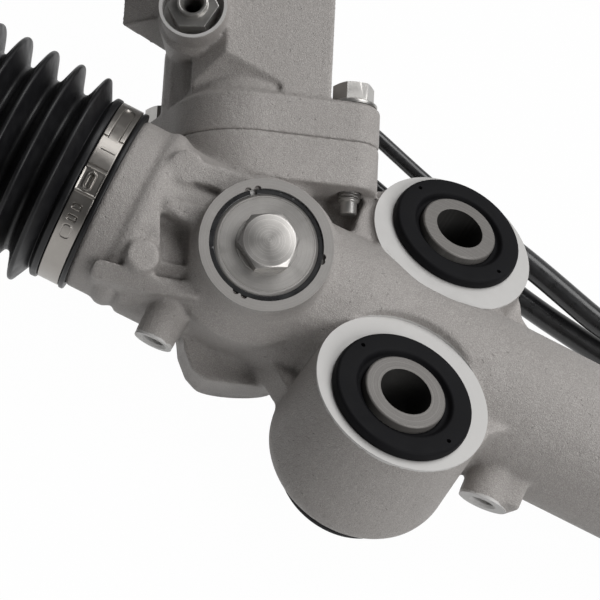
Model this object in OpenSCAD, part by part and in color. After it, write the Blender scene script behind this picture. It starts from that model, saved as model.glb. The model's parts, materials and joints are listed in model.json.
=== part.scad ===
// Hydraulic power steering rack: cast housing with the pinion and valve tower, mounting bushes,
// rack bar with piston, inner tie rods, bellows boots and the two transfer lines.
// Millimetres. X runs along the rack, Z is up along the mounting bolts, Y points to the rear.
// The origin is on the rack axis, midway between the two bushes at the pinion end.

/* [Rack and pinion] */
// Radius of the round rack bar
rack_r = 13.5; // [12:0.25:15]
// Rack travel to each side of centre
travel = 64; // [50:1:70]
// Normal module of the teeth
tooth_m = 1.9; // [1.5:0.05:2.5]
// Number of teeth on the pinion
pinion_z = 8; // [6:1:10]
// Normal pressure angle of the teeth
press_a = 20; // [18:0.5:25]
// Profile shift of the pinion, as a share of the module
shift = 0.45; // [0.4:0.01:0.6]
// Play taken off each tooth flank
flank_play = 0.07; // [0.03:0.01:0.12]
// Lean of the pinion axis along the rack, equal to its helix angle
lean_a = 22; // [15:1:25]
// Height of the rack tooth tips above the bar's axis
tip_h = 10.9; // [9:0.1:12]
// Length of the toothed part of the bar
toothed_len = 170; // [150:1:180]
// Length of the pinion's toothed part
pinion_len = 34; // [28:1:40]
// Distance from the mounting bushes to the pinion, along the rack
pinion_x = 64.6; // [60:0.1:75]

/* [Housing] */
// Left end of the housing, where the boot is clamped
left_end = -134; // [-140:1:-128]
// Right end of the housing
right_end = 291; // [280:1:320]
// Outer radius of the cylinder tube
tube_r = 29.1; // [27:0.1:32]
// Outer radius of the housing neck at the pinion end
neck_r = 33.3; // [30:0.1:36]
// Outer radius of the short seat under each boot's cuff
seat_r = 31.6; // [29:0.1:33]
// Tilt of the yoke boss from the vertical, to the front
yoke_a = 28; // [0:1:40]
// Outer radius of the yoke boss
yoke_boss_r = 23.9; // [22:0.1:26]
// Height of the yoke boss face above the rack axis
yoke_h = 41.8; // [38:0.1:45]
// Radius of the yoke plug
plug_r = 18.3; // [17:0.1:19]

/* [Mounting bushes] */
// Distance of each bush from the rack axis
bush_y = 44.4; // [40:0.1:50]
// Radius of the bolt hole in the steel sleeve
bush_bore_r = 9.4; // [6:0.1:10]
// Outer radius of the steel sleeve
sleeve_r = 15; // [12:0.1:16]
// Half the length of the steel sleeve
sleeve_h = 28.5; // [25:0.1:32]
// Outer radius of the rubber in the boss
rubber_r = 20; // [19:0.1:23]
// Outer radius of the rubber flange
flange_r = 25.6; // [24:0.1:28]
// Outer radius of the cast bush boss at its top, from where it widens downwards
boss_r = 32.3; // [30:0.1:35]
// Distance of the cast boss's own centre from the rack axis
boss_y = 40.7; // [38:0.1:46]
// Half the height of the cast bush boss
boss_h = 24; // [20:0.5:28]
// Place of the far bush along the rack
far_bush_x = 214; // [190:1:240]

/* [Valve tower] */
// Height of the joint between housing and valve housing, along the pinion axis
joint_h = 52; // [48:1:54]
// Height of the top of the valve housing
tower_h = 122; // [112:1:130]
// Thickness of the valve housing's flange
valve_flange = 16; // [12:1:20]
// Radius of the valve bore
valve_bore_r = 20; // [18:0.1:22]
// Height of the splined end of the input shaft
input_h = 162; // [150:1:175]
// Radius of the input shaft
input_r = 9.5; // [8:0.1:11]

/* [Cylinder] */
// Left end of the working cylinder
cyl_x0 = 98; // [96:1:102]
// Right end of the working cylinder
cyl_x1 = 250; // [246:1:260]
// Bore radius of the cylinder
cyl_r = 20.5; // [20:0.1:21]
// Wall of the cylinder liner
liner_t = 2.2; // [2:0.1:2.5]

/* [Boots and tie rods] */
// Radius of the boot's folds
fold_r = 41; // [36:0.5:44]
// Spacing of the folds
fold_pitch = 10.8; // [9:0.1:13]
// Length of each boot from the housing end to the tie rod clamp
boot_len = 162; // [150:1:175]
// Distance from the housing end to the ball centre, at straight ahead
ball_out = 85; // [80:1:90]
// Radius of the inner ball
ball_r = 12.5; // [11:0.1:14]
// Radius of the tie rod
rod_r = 8; // [7:0.1:9]
// Length of the tie rod from the ball centre
rod_len = 190; // [170:1:260]
// Radius of the tie rod's thread
thread_r = 7; // [6:0.1:8]

/* [Hydraulic lines] */
// Radius of each transfer line
line_r = 3; // [2.5:0.1:4]
// Outer radius of the sleeve pushed over the long part of each line
line_sleeve_r = 5.2; // [4.5:0.1:6]

/* [Part shown] */
// Sub-part to draw, or all

/* [Hidden] */
$fn = 96;
eps = 0.01;
fit = 0.05;

// Gear values
helix = lean_a;
pitch_r = pinion_z * tooth_m / (2 * cos(helix));
alpha_t = atan(tan(press_a) / cos(helix));
base_r = pitch_r * cos(alpha_t);
pinion_tip_r = pitch_r + tooth_m * (1 + shift);
pinion_root_r = pitch_r - tooth_m * (1.25 - shift);
rack_ref_h = tip_h - tooth_m;
pinion_d = rack_ref_h + pitch_r + tooth_m * shift;
tooth_pitch = PI * tooth_m;
half_t = (PI * tooth_m / 2 + 2 * shift * tooth_m * tan(press_a) - 2 * flank_play) / (2 * cos(helix));
twist_rate = tan(helix) / pitch_r * 180 / PI;

// Places along the rack
stop_in = 7;
left_stop = left_end + stop_in;
right_stop = right_end - stop_in;
rack_left = left_stop - travel - 1;
rack_right = right_stop + travel + 1;
left_ball = left_end - ball_out;
right_ball = right_end + ball_out;
piston_x = (cyl_x0 + cyl_x1) / 2;
piston_w = 18;
stop_bore_r = 27;
left_stop_w = 10;
right_stop_w = 8;
seal_x0 = 86;
seal_r = 20;

// Casting under the flange, and the bolts through it
low_flange = 18;
bolt_end_z = 26;
bolt_tip_r = 3.1;
washer_r = 9.3;
ring_z = 2.2;
ring_seat_r = 20.2;
stake_a = [10, 14.5, 124, 134, -97, -88];
flange_edge = 1.2;

// Jam nut on the tie rod, and the groove under it where the thread runs out
nut_at = 138;
nut_h = 9;
groove_r = 6.4;

// Valve tower outline: main bolts, ports
bolt_s = [[37, -19], [-29.5, 31]];
bolt_r = 4;
inlet_at = [-28.1, -31.2, 97.2];
inlet_a = 13;
block_a = 42;
line_ports = [[-22, 78], [-32, 60]];
port_face = 33;
cyl_ports = [[106, -15], [242, -8]];

// Frame of the yoke: Z along the yoke axis, X along the rack
module at_yoke() {
    translate([-pinion_x, 0, 0]) rotate([yoke_a, 0, 0]) children();
}

// Frame of the pinion: Z up its axis, X across it to the right, Y away from the yoke
module at_pinion() {
    at_yoke() rotate([0, 0, lean_a]) translate([0, 0, -pinion_d]) rotate([-90, 0, 0]) children();
}

// Frame along the rack: Z becomes the rack axis
module along_x(x) {
    translate([x, 0, 0]) rotate([0, 90, 0]) children();
}

// Plain disc or tube along the rack from x0 to x1
module rod_x(x0, x1, r, hole = 0) {
    along_x(x0) difference() {
        cylinder(r = r, h = x1 - x0);
        if (hole > 0) translate([0, 0, -eps]) cylinder(r = hole, h = x1 - x0 + 2 * eps);
    }
}

// Tube along Z
module ring(r, hole, h) {
    difference() {
        cylinder(r = r, h = h);
        translate([0, 0, -eps]) cylinder(r = hole, h = h + 2 * eps);
    }
}

// Cylinder with its edges chamfered by c
module chamfered(r, h, c) {
    rotate_extrude() polygon([[0, 0], [r - c, 0], [r, c], [r, h - c], [r - c, h], [0, h]]);
}

// Hexagon across flats af
module hex(af, h) {
    cylinder(r = af / sqrt(3), h = h, $fn = 6);
}

// Hexagon head with a rounded-off crown
module hex_head(af, h) {
    intersection() {
        hex(af, h);
        rotate_extrude() polygon([[0, 0], [af, 0], [af, h - 2], [af / 2 - 0.2, h], [0, h]]);
    }
}

// Angle of the outward normal where the outer tangent leaves circle a for circle b
function leave_a(a, b) = let(d = [b[0] - a[0], b[1] - a[1]])
    atan2(d[1], d[0]) - acos((a[2] - b[2]) / norm(d));

// Outline round a ring of circles [x, y, r], in the order that runs to the left round them
function round_outline(c) = let(n = len(c))
    [for (i = [0 : n - 1]) let(
        from = leave_a(c[(i + n - 1) % n], c[i]),
        to = leave_a(c[i], c[(i + 1) % n]),
        span = (to - from + 720) % 360,
        steps = max(2, ceil(span / 8)))
        for (k = [0 : steps]) let(t = from + span * k / steps)
            [c[i][0] + c[i][2] * cos(t), c[i][1] + c[i][2] * sin(t)]];

// Flat outline of two circles and their outer tangents
module belt(p, rp, q, rq) {
    polygon(round_outline([[p[0], p[1], rp], [q[0], q[1], rq]]));
}

// Involute of the base circle, as half the angle that a tooth spans at radius r
function inv(a) = tan(a) - a * PI / 180;
function flank_a(r) =
    (half_t / pitch_r + inv(alpha_t) - inv(r > base_r ? acos(base_r / r) : 0)) * 180 / PI;

// One tooth of the pinion in the plane across its axis, centred on angle c
function tooth(c, radii) = concat(
    [for (r = radii) r * [cos(c - flank_a(r)), sin(c - flank_a(r))]],
    [for (i = [len(radii) - 1 : -1 : 0]) let(r = radii[i])
        r * [cos(c + flank_a(r)), sin(c + flank_a(r))]]);

// Teeth of the pinion, twisted to the helix angle, with a tooth facing the rack at mid-height
module pinion_teeth() {
    steps = 5;
    radii = concat([pinion_root_r],
        [for (i = [0 : steps]) base_r + (pinion_tip_r - base_r) * i / steps]);
    turn = twist_rate * pinion_len;
    outline = [for (k = [0 : pinion_z - 1])
        each tooth(-90 - turn / 2 + k * 360 / pinion_z, radii)];
    translate([0, 0, -pinion_len / 2])
        linear_extrude(height = pinion_len, twist = -turn, slices = 18) polygon(outline);
}

// Space between two rack teeth, cut across the bar
module rack_space(x) {
    w = tooth_pitch / 4 + flank_play;
    k = tan(press_a);
    top = tip_h + 1 - rack_ref_h;
    low = tooth_m * 1.25;
    translate([x, 0, 0]) rotate([90, 0, 0]) linear_extrude(height = 40, center = true)
        polygon([[-w - top * k, -rack_ref_h - top], [w + top * k, -rack_ref_h - top],
            [w - low * k, -rack_ref_h + low], [-w + low * k, -rack_ref_h + low]]);
}

// Smooth path through hand-set points: each corner becomes a short curve
function corner(a, b, c, r) = let(
    u = (a - b) / norm(a - b), v = (c - b) / norm(c - b),
    p = b + u * r, q = b + v * r)
    [for (t = [0 : 0.2 : 1]) (1 - t) * (1 - t) * p + 2 * t * (1 - t) * b + t * t * q];
function smooth_path(pts, r) = concat([pts[0]],
    [for (i = [1 : len(pts) - 2]) each corner(pts[i - 1], pts[i], pts[i + 1], r)],
    [pts[len(pts) - 1]]);
function unit(v) = v / norm(v);
function tangent(p, i) = unit(p[min(i + 1, len(p) - 1)] - p[max(i - 1, 0)]);

// Round tube swept along a path, closed at both ends
module sweep(p, r, sides) {
    n = len(p);
    up = [0, 0, 1];
    rings = [for (i = [0 : n - 1]) let(t = tangent(p, i), u = unit(cross(up, t)), v = cross(t, u))
        for (k = [0 : sides - 1]) p[i] + r * (cos(360 * k / sides) * u + sin(360 * k / sides) * v)];
    walls = [for (i = [0 : n - 2]) for (k = [0 : sides - 1]) let(m = (k + 1) % sides)
        each [[i * sides + k, (i + 1) * sides + k, (i + 1) * sides + m],
            [i * sides + k, (i + 1) * sides + m, i * sides + m]]];
    polyhedron(points = rings, faces = concat(
        [[for (k = [0 : sides - 1]) k]], walls,
        [[for (k = [sides - 1 : -1 : 0]) (n - 1) * sides + k]]));
}

// A point given in the pinion frame, in the main frame
function from_pinion(s, y, z) = let(
    x1 = s * cos(lean_a) - z * sin(lean_a),
    m1 = s * sin(lean_a) + z * cos(lean_a),
    n1 = -y - pinion_d)
    [x1 - pinion_x, m1 * cos(yoke_a) - n1 * sin(yoke_a), m1 * sin(yoke_a) + n1 * cos(yoke_a)];

// Outer form of the flange joint between the two housings, drawn in by d
module flange_outline(d = 0) {
    middle = [0, 0, 30.4 - d];
    polygon(round_outline([[bolt_s[0][0], bolt_s[0][1], 10.5 - d], middle,
        [bolt_s[1][0], bolt_s[1][1], 11 - d], middle]));
}

// Rack tube with both necks, as one turned profile along the rack
module tube_profile() {
    seat = 11.8;
    along_x(0) rotate_extrude() polygon([[0, left_end], [seat_r, left_end],
        [seat_r, left_end + seat], [neck_r, left_end + seat], [neck_r, -111.5], [34.6, -110.2],
        [34.6, -107], [32.6, -103.5], [31.8, -99], [31.8, -84], [30.8, -72], [31, -24],
        [tube_r, -8], [tube_r, 232], [neck_r, 240], [neck_r, right_end - seat],
        [seat_r, right_end - seat], [seat_r, right_end], [0, right_end]]);
}

// Cast boss for one bush, rounded at the bottom edge, with its web to the tube
module bush_boss(x, side) {
    translate([x, side * boss_y, 0]) rotate_extrude() polygon([[0, -boss_h], [boss_r - 3.2, -boss_h],
        [boss_r - 0.6, 1.9 - boss_h], [boss_r + 1.2, 5 - boss_h], [boss_r + 2, 9 - boss_h],
        [boss_r, boss_h], [0, boss_h]]);
    translate([x, 0, -15]) linear_extrude(height = 30)
        belt([0, 0], 36, [0, side * boss_y * 0.85], boss_r - 2.4);
    // Flare of the web on the side away from the pinion
    translate([x, 0, -15]) linear_extrude(height = 30)
        polygon([[28, side * 18], [45, side * 18], [41, side * 27.2], [38.2, side * 29.4],
            [36.4, side * 32], [35.2, side * 37], [28, side * 46]]);
}

// Boss with its axis square to the yoke's, for a bracket bolt
module bracket_boss(x, n, from, to, r) {
    at_yoke() translate([x + pinion_x, -from, n]) rotate([90, 0, 0]) cylinder(r = r, h = to - from);
}

// Arm, pad, bump and ribs on the casting beside the yoke boss
module cast_ribs() {
    at_yoke() {
        translate([0, 0, 20]) cylinder_at([-36.9, 15.5], 6.3, 12.4);
        translate([0, 0, 20]) linear_extrude(height = 12.4) belt([-36.9, 14.9], 4, [-15, 19], 4.4);
        translate([0, 0, 24]) linear_extrude(height = 9.4)
            polygon([[-38, 2.1], [-37.3, -2.2], [-22, -3.9], [-22, 5.2]]);
        translate([-36.4, -20.3, 20]) cylinder(r1 = 7, r2 = 5.8, h = 11.4);
        intersection() {
            translate([0, 0, 8]) linear_extrude(height = 19.8) {
                belt([-48, -29.6], 2.8, [-30.4, -27.1], 2.8);
                belt([-30.4, -27.1], 2.8, [-10.9, -21.1], 3);
            }
            rod_x(-52, 0, 37.6);
        }
        // Thick front of the casting round the bracket boss
        intersection() {
            rod_x(-38, -12, 34.4);
            translate([-60, -60, -34]) cube([60, 32.4, 52]);
        }
    }
}

// Round pin standing at a place in the plane
module cylinder_at(p, r, h) {
    translate([p[0], p[1], 0]) cylinder(r = r, h = h);
}

// Round pinion housing with its closed lower end and the flatter front of the casting
module pinion_lobe() {
    translate([0, 0, -41.2]) rotate_extrude() polygon([[0, 0], [14.2, 0], [17.2, 3], [20, 9.5],
        [22.8, 18.5], [25, 31], [25, joint_h + 39], [0, joint_h + 39]]);
    translate([0, 4, 0]) rotate([90, 0, 0]) linear_extrude(height = 21.4)
        polygon([[-24, 2], [-22.8, -18], [-21.3, -30], [-17.8, -37.6], [-13, -41], [9.5, -41.8],
            [13.8, -39.4], [19.5, -23], [24, 2]]);
}

// Web between the pinion housing, the flange and the rear bush boss
module rear_web() {
    at_pinion() translate([0, 8, 0]) rotate([90, 0, 0]) linear_extrude(height = 16)
        polygon([[18, 4], [18, 37], [46.8, 37], [46.8, 30], [41, 16], [36, 4]]);
    translate([0, 0, -12]) linear_extrude(height = 34)
        polygon([[-36.4, 18], [-28, 18], [-28, 52], [-33.5, 50.5], [-36.8, 44]]);
}

// Web between the lower end of the pinion housing and the front bush boss
module front_web() {
    translate([0, 0, -16]) linear_extrude(height = 13) belt([-42.5, -16], 12, [-20, -34], 12.6);
}

// Outside of the whole casting
module housing_solid() {
    tube_profile();
    at_yoke() rotate_extrude() polygon([[0, 0], [31.5, 0], [31.5, 22], [27.5, 26], [25, 31],
        [yoke_boss_r, 36], [yoke_boss_r, yoke_h - 0.6], [yoke_boss_r - 0.6, yoke_h], [0, yoke_h]]);
    at_pinion() {
        pinion_lobe();
        translate([0, 0, joint_h - low_flange]) linear_extrude(height = low_flange) flange_outline();
        hull() {
            translate([0, 0, joint_h - 14]) linear_extrude(height = 0.5)
                belt([-14, -8], 15, [14, -17], 11.5);
            translate([-4, -6, 16]) cylinder(r = 21, h = 0.5);
        }
        hull() {
            translate([0, 0, joint_h - 14]) linear_extrude(height = 0.5) belt([0, 6], 20, [-28, 26], 9);
            translate([-4, 2, 14]) cylinder(r = 20, h = 0.5);
        }
    }
    bush_boss(0, 1);
    bush_boss(0, -1);
    bush_boss(far_bush_x, -1);
    rear_web();
    front_web();
    bracket_boss(-84.4, 14, 16, 42.5, 7.3);
    bracket_boss(49, 4.5, 16, 39, 9.4);
    at_yoke() translate([46 + pinion_x, -37.5, -4]) cube([14.5, 20, 17]);
    cast_ribs();
    each_line_port() {
        cylinder(r1 = 14, r2 = 10.5, h = 36);
        cylinder(r = 10.5, h = 39);
    }
}

// Places a piece at each transfer line's port on the cylinder, with Z pointing out of it
module each_line_port() {
    for (p = cyl_ports) translate([p[0], 0, 0]) rotate([p[1] - 90, 0, 0]) children();
}

// Spot-faced seat and bore for one bush
module bush_bore(x, side) {
    translate([x, side * bush_y, -boss_h - 1]) cylinder(r = rubber_r, h = 2 * boss_h + 2);
    for (m = [0, 1]) mirror([0, 0, m]) translate([x, side * boss_y, boss_h])
        cylinder(r = boss_r + 0.3, h = 20);
}

// Blind tapped hole with its lead-in chamfer, drilled up the local Z axis from the face at 0
module tapped_hole(r, depth) {
    translate([0, 0, -eps]) cylinder(r = r, h = depth);
    translate([0, 0, -eps]) cylinder(r1 = r + 1, r2 = r, h = 1);
}

module rack_housing() {
    color("#a39f9a") difference() {
        housing_solid();
        // Rack passage, end bores, seal seat and cylinder
        rod_x(left_end - 1, right_end + 1, rack_r + 0.7);
        rod_x(left_end - 1, left_stop + left_stop_w, stop_bore_r);
        rod_x(right_stop - right_stop_w, right_end + 1, stop_bore_r);
        rod_x(seal_x0, cyl_x0 + eps, seal_r);
        rod_x(cyl_x0, right_stop - right_stop_w + eps, cyl_r + liner_t);
        // Yoke bore, plug thread and ring groove
        at_yoke() {
            cylinder(r = 17.1, h = yoke_h + 1);
            translate([0, 0, 31]) cylinder(r = plug_r + fit, h = 20);
            translate([0, 0, yoke_h - ring_z]) cylinder(r = ring_seat_r, h = 5);
            // Punch marks that hold the ring, and the pocket beside the boss
            for (a = stake_a) rotate(a) translate([20, 0, yoke_h - 1.6]) cylinder(r = 1.25, h = 5);
            translate([0, 0, 25]) linear_extrude(height = 14)
                polygon([[-38.3, -3], [-26, -3.1], [-20.9, -15.5], [-30.1, -18]]);
        }
        // Pinion bore with its bearing seats and seal seat
        at_pinion() {
            translate([0, 0, -36]) cylinder(r = 8.5, h = 10);
            translate([0, 0, -30]) cylinder(r = 12.5, h = 12);
            translate([0, 0, -18.5]) cylinder(r = 11.9, h = 45);
            translate([0, 0, 21]) cylinder(r = 18.5, h = 40);
            translate([0, 0, 33]) cylinder(r = 19.6, h = 2.2);
            translate([0, 0, joint_h - 1.8]) cylinder(r = 22.6, h = 5);
            for (p = bolt_s) translate([p[0], p[1], 20]) cylinder(r = bolt_r, h = 40);
        }
        for (p = [[0, 1], [0, -1], [far_bush_x, -1]]) bush_bore(p[0], p[1]);
        at_yoke() {
            translate([-84.4 + pinion_x, -42.5, 14]) rotate([-90, 0, 0]) tapped_hole(4.2, 15);
            translate([49 + pinion_x, -39, 4.5]) rotate([-90, 0, 0]) tapped_hole(4.2, 14);
        }
        each_line_port() {
            cylinder(r = 2.6, h = 45);
            translate([0, 0, 31]) cylinder(r = 6, h = 10);
        }
    }
}

// Frame of the inlet port: Z points out of it, 0 is at its rim
module at_inlet() {
    at_pinion() translate(inlet_at) rotate([0, 0, -inlet_a]) rotate([90, 0, 0]) children();
}

// Frame of the return port in the upper left block: Z points up the pinion axis
module at_return() {
    at_pinion() rotate([0, 0, -block_a]) translate([-24, -14, tower_h]) children();
}

// Front block of the valve housing, whose underside slants up to the left and back to the column
module front_block() {
    face = 27.8;
    corner_x = -14.1;
    slant = 23.6;
    intersection() {
        translate([0, 0, 60]) linear_extrude(height = tower_h - 60)
            polygon([[corner_x, -face], [26.8, -face], [26.8, 0], [-20, 0], [-25.2, -15.5]]);
        union() {
            translate([corner_x, -face, 82.2]) rotate([0, slant, 0]) rotate([-49, 0, 0])
                translate([-40, -60, 0]) cube([90, 110, 80]);
            rotate([90, 0, 0]) linear_extrude(height = 60)
                polygon([[5.8, 73.5], [7.4, 71.6], [8, 67.8], [8, 59], [40, 59], [40, 130], [5.8, 130]]);
        }
    }
}

module valve_housing() {
    color("#9d9995") difference() {
        union() {
            at_pinion() {
                translate([0, 0, joint_h]) {
                    linear_extrude(height = valve_flange - flange_edge) flange_outline();
                    linear_extrude(height = valve_flange) flange_outline(flange_edge);
                    cylinder(r = 25.5, h = tower_h - joint_h);
                }
                // Hollow of the column where it widens to the flange
                translate([0, 0, joint_h + valve_flange - 0.2]) rotate_extrude()
                    polygon([[0, 0], [28.4, 0], [26.8, 2.4], [25.6, 5.6], [0, 5.6]]);
                front_block();
                translate([0, 0, joint_h + 10]) linear_extrude(height = tower_h - joint_h - 10)
                    polygon([[0, -20], [24.6, -20], [27, -17], [27, 12], [20, 20], [0, 20]]);
                // Upper left block
                rotate([0, 0, -block_a]) translate([-38.6, -34.5, 99]) cube([46, 44, tower_h - 99]);
                // Block for the two transfer lines
                translate([4, 8, joint_h + 1]) cube([port_face - 4, 35, 37]);
            }
            // Inlet boss, wider where it meets the blocks
            at_inlet() {
                translate([0, 0, -34]) cylinder(r = 14.4, h = 20);
                translate([0, 0, -14]) cylinder(r1 = 14.4, r2 = 12.9, h = 4);
                translate([0, 0, -14]) cylinder(r = 12.9, h = 14);
            }
        }
        at_pinion() {
            // Valve bore, bearing seat and dust seal seat
            translate([0, 0, joint_h - 1]) cylinder(r = valve_bore_r, h = 107 - joint_h);
            translate([0, 0, 100]) cylinder(r = 15, h = 30);
            translate([0, 0, tower_h - 6]) cylinder(r = 17, h = 10);
            for (p = bolt_s) translate([p[0], p[1], 40]) cylinder(r = bolt_r + 0.3, h = 60);
            for (p = bolt_s) translate([p[0], p[1], joint_h + valve_flange])
                cylinder(r = washer_r + 0.5, h = 60);
            for (p = line_ports) translate([0, -p[0], p[1]]) rotate([0, 90, 0]) {
                translate([0, 0, 8]) cylinder(r = 2.6, h = 40);
                translate([0, 0, port_face - 8]) cylinder(r = 6, h = 40);
            }
        }
        at_inlet() {
            translate([0, 0, -32]) cylinder(r = 4, h = 30);
            translate([0, 0, -14]) cylinder(r = 7, h = 20);
            translate([0, 0, -7]) cylinder(r = 11.6, h = 20);
        }
        at_return() {
            translate([0, 0, -14]) cylinder(r = 7, h = 30);
            translate([0, 0, -20]) cylinder(r = 3.5, h = 10);
        }
    }
}

module valve_housing_bolts() {
    color("#8d8a86") at_pinion() for (p = bolt_s) translate([p[0], p[1], joint_h + valve_flange]) {
        shank = joint_h + valve_flange - bolt_end_z;
        rotate_extrude() polygon([[0, 0], [washer_r, 0], [washer_r, 1.2], [7.4, 2.4], [0, 2.4]]);
        hex_head(14, 9);
        rotate_extrude() polygon([[0, -shank], [bolt_tip_r - 0.4, -shank], [bolt_tip_r, 0.4 - shank],
            [bolt_tip_r, 4.6 - shank], [bolt_r, 5.4 - shank], [bolt_r, eps], [0, eps]]);
    }
}

module joint_seal() {
    color("#1a1a1a") at_pinion() translate([0, 0, joint_h - 1.8]) ring(22.6, 20.4, 1.8);
}

module inlet_fitting() {
    color("#c9c5bf") at_inlet() translate([0, 0, -14]) difference() {
        union() {
            cylinder(r = 7, h = 7);
            translate([0, 0, 7]) hex(17, 7.4);
            cylinder(r = 5.6, h = 17.5);
        }
        translate([0, 0, -1]) cylinder(r = 3.4, h = 30);
        translate([0, 0, 15]) cylinder(r1 = 3.4, r2 = 4.8, h = 3);
    }
}

module return_fitting() {
    color("#b9b5ae") at_return() translate([0, 0, -14]) difference() {
        union() {
            cylinder(r = 7, h = 14);
            translate([0, 0, 14]) hex(17, 7);
            cylinder(r = 6, h = 42);
            translate([0, 0, 21]) cylinder(r1 = 6, r2 = 6.9, h = 2.5);
        }
        translate([0, 0, -1]) cylinder(r = 4, h = 80);
    }
}

module shaft_dust_seal() {
    color("#161616") at_pinion() translate([0, 0, tower_h - 6]) rotate_extrude()
        polygon([[input_r + fit, 0], [17, 0], [17, 6], [15.5, 6.8], [13, 6.8], [11.4, 8.4],
            [input_r + fit, 9]]);
}

module valve_top_bearing() {
    color("#b5b5b5") at_pinion() translate([0, 0, 107]) ring(15, input_r + fit, 9);
}

module pinion_seal() {
    color("#1c1c1c") at_pinion() translate([0, 0, 36]) ring(18.5, 11 + fit, 7);
}

module pinion_top_bearing() {
    color("#b8b8b8") at_pinion() translate([0, 0, 21]) ring(18.5, 10 + fit, 12);
}

module pinion_low_bearing() {
    color("#b8b8b8") at_pinion() translate([0, 0, -30]) ring(12.5, 7 + fit, 11);
}

module bearing_ring() {
    color("#77736f") at_pinion() translate([0, 0, 33]) difference() {
        ring(19.6, 16.8, 1.6);
        translate([-2.5, 0, -1]) cube([5, 30, 4]);
    }
}

// Pressed yoke that holds the bar against the pinion
module rack_yoke() {
    color("#b9b6b0") at_yoke() difference() {
        translate([0, 0, 3]) chamfered(17.05, 27, 0.8);
        rod_x(-20, 20, rack_r + 1);
        translate([0, 0, 21]) cylinder(r = 9, h = 12);
    }
}

module yoke_liner() {
    color("#5b4a34") at_yoke() intersection() {
        rod_x(-15.8, 15.8, rack_r + 1, rack_r + fit);
        translate([0, 0, 5]) cylinder(r = 15.8, h = 20);
    }
}

module yoke_spring() {
    turns = 2.5;
    path = [for (i = [0 : 40]) let(a = i / 40 * turns * 360)
        [6.4 * cos(a), 6.4 * sin(a), 22.2 + i / 40 * 11.6]];
    color("#8f8f92") at_yoke() sweep(path, 1.2, 8);
}

module yoke_plug() {
    color("#aaa7a3") at_yoke() difference() {
        union() {
            translate([0, 0, 31.4]) rotate_extrude() polygon([[0, 0], [plug_r - 0.8, 0], [plug_r, 0.8],
                [plug_r, yoke_h - 32.4], [plug_r - 1, yoke_h - 31.4], [0, yoke_h - 31.4]]);
            translate([0, 0, yoke_h]) cylinder(r = 10.9, h = 0.5);
            translate([0, 0, yoke_h]) rotate(30) hex_head(19, 5.4);
        }
        translate([0, 0, 30]) cylinder(r = 9, h = 5);
    }
}

module yoke_lock_ring() {
    color("#161616") at_yoke() translate([0, 0, yoke_h - ring_z]) difference() {
        ring(ring_seat_r - fit, plug_r + fit, 1.5);
        rotate(129) translate([0, -1.1, -1]) cube([30, 2.2, 4]);
    }
}

// One place for each of the three bushes
module each_bush() {
    for (p = [[0, bush_y], [0, -bush_y], [far_bush_x, -bush_y]]) translate([p[0], p[1], 0]) children();
}

module bush_sleeves() {
    color("#a19a90") each_bush() translate([0, 0, -sleeve_h]) difference() {
        chamfered(sleeve_r, 2 * sleeve_h, 0.5);
        translate([0, 0, -1]) cylinder(r = bush_bore_r, h = 2 * sleeve_h + 2);
    }
}

// Upper half of one bush's rubber, with its flange and the recess round the sleeve
module half_rubber() {
    lip = 3.9;
    difference() {
        rotate_extrude() polygon([[sleeve_r, 0.4], [rubber_r, 0.4], [rubber_r, boss_h],
            [flange_r, boss_h], [flange_r + 0.2, boss_h + 1.2], [flange_r - 0.1, boss_h + lip - 0.7],
            [flange_r - 0.8, boss_h + lip], [18, boss_h + lip], [17.2, boss_h + 1.6],
            [sleeve_r, boss_h + 1.4]]);
        rotate(150) translate([22.6, 0, boss_h + 2.4]) cylinder(r = 0.9, h = 4);
    }
}

module bush_rubbers_top() {
    color("#191919") each_bush() half_rubber();
}

module bush_rubbers_bottom() {
    color("#191919") each_bush() mirror([0, 0, 1]) half_rubber();
}

module cylinder_liner() {
    color("#9a9a9c") difference() {
        rod_x(cyl_x0, cyl_x1, cyl_r + liner_t, cyl_r);
        each_line_port() cylinder(r = 2.6, h = 40);
    }
}

module inner_rack_seal() {
    color("#2a2a2a") rod_x(seal_x0, cyl_x0 - 0.5, seal_r, rack_r + fit);
}

module outer_rack_seal() {
    color("#2a2a2a") rod_x(cyl_x1 + 0.5, cyl_x1 + 10, seal_r, rack_r + fit);
}

module rod_bushing() {
    color("#b3b0aa") difference() {
        rod_x(cyl_x1, right_stop - right_stop_w, cyl_r + liner_t, rack_r + 0.3);
        rod_x(cyl_x1 - 1, cyl_x1 + 10, seal_r);
    }
}

module left_stop_ring() {
    color("#3a3a3c") rod_x(left_stop, left_stop + left_stop_w, stop_bore_r, rack_r + 0.3);
}

module right_stop_ring() {
    color("#3a3a3c") rod_x(right_stop - right_stop_w, right_stop, stop_bore_r, rack_r + 0.3);
}

// Place of a line's end on the cylinder
function line_end(x, a, r) = [x, r * cos(a), r * sin(a)];

// Transfer line from its port on the valve housing to the cylinder, with a sleeve on its long part
module transfer_line(start, bends, end) {
    from = bends[1] + 0.35 * (bends[2] - bends[1]);
    last = len(bends) - 1;
    sweep(smooth_path(concat([start], bends, [end]), 9), line_r, 14);
    sweep(smooth_path([from, bends[2], bends[3], bends[3] + 0.8 * (bends[last] - bends[3])], 9),
        line_sleeve_r, 14);
}

module near_line() {
    color("#1d1d1f") transfer_line(from_pinion(port_face - 4, 32, 60),
        [from_pinion(52, 32, 60), from_pinion(72, 34, 46), [52, 74.6, -18.6], [84, 70.6, -19.9],
            line_end(106, -15, 70)], line_end(106, -15, 34));
}

module far_line() {
    color("#1d1d1f") transfer_line(from_pinion(port_face - 4, 22, 78),
        [from_pinion(50, 22, 78), from_pinion(78, 22.5, 56), [44, 79.6, -3.4], [76, 72.4, -7.4],
            [222, 66, -9.2], line_end(242, -8, 65)], line_end(242, -8, 34));
}

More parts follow.
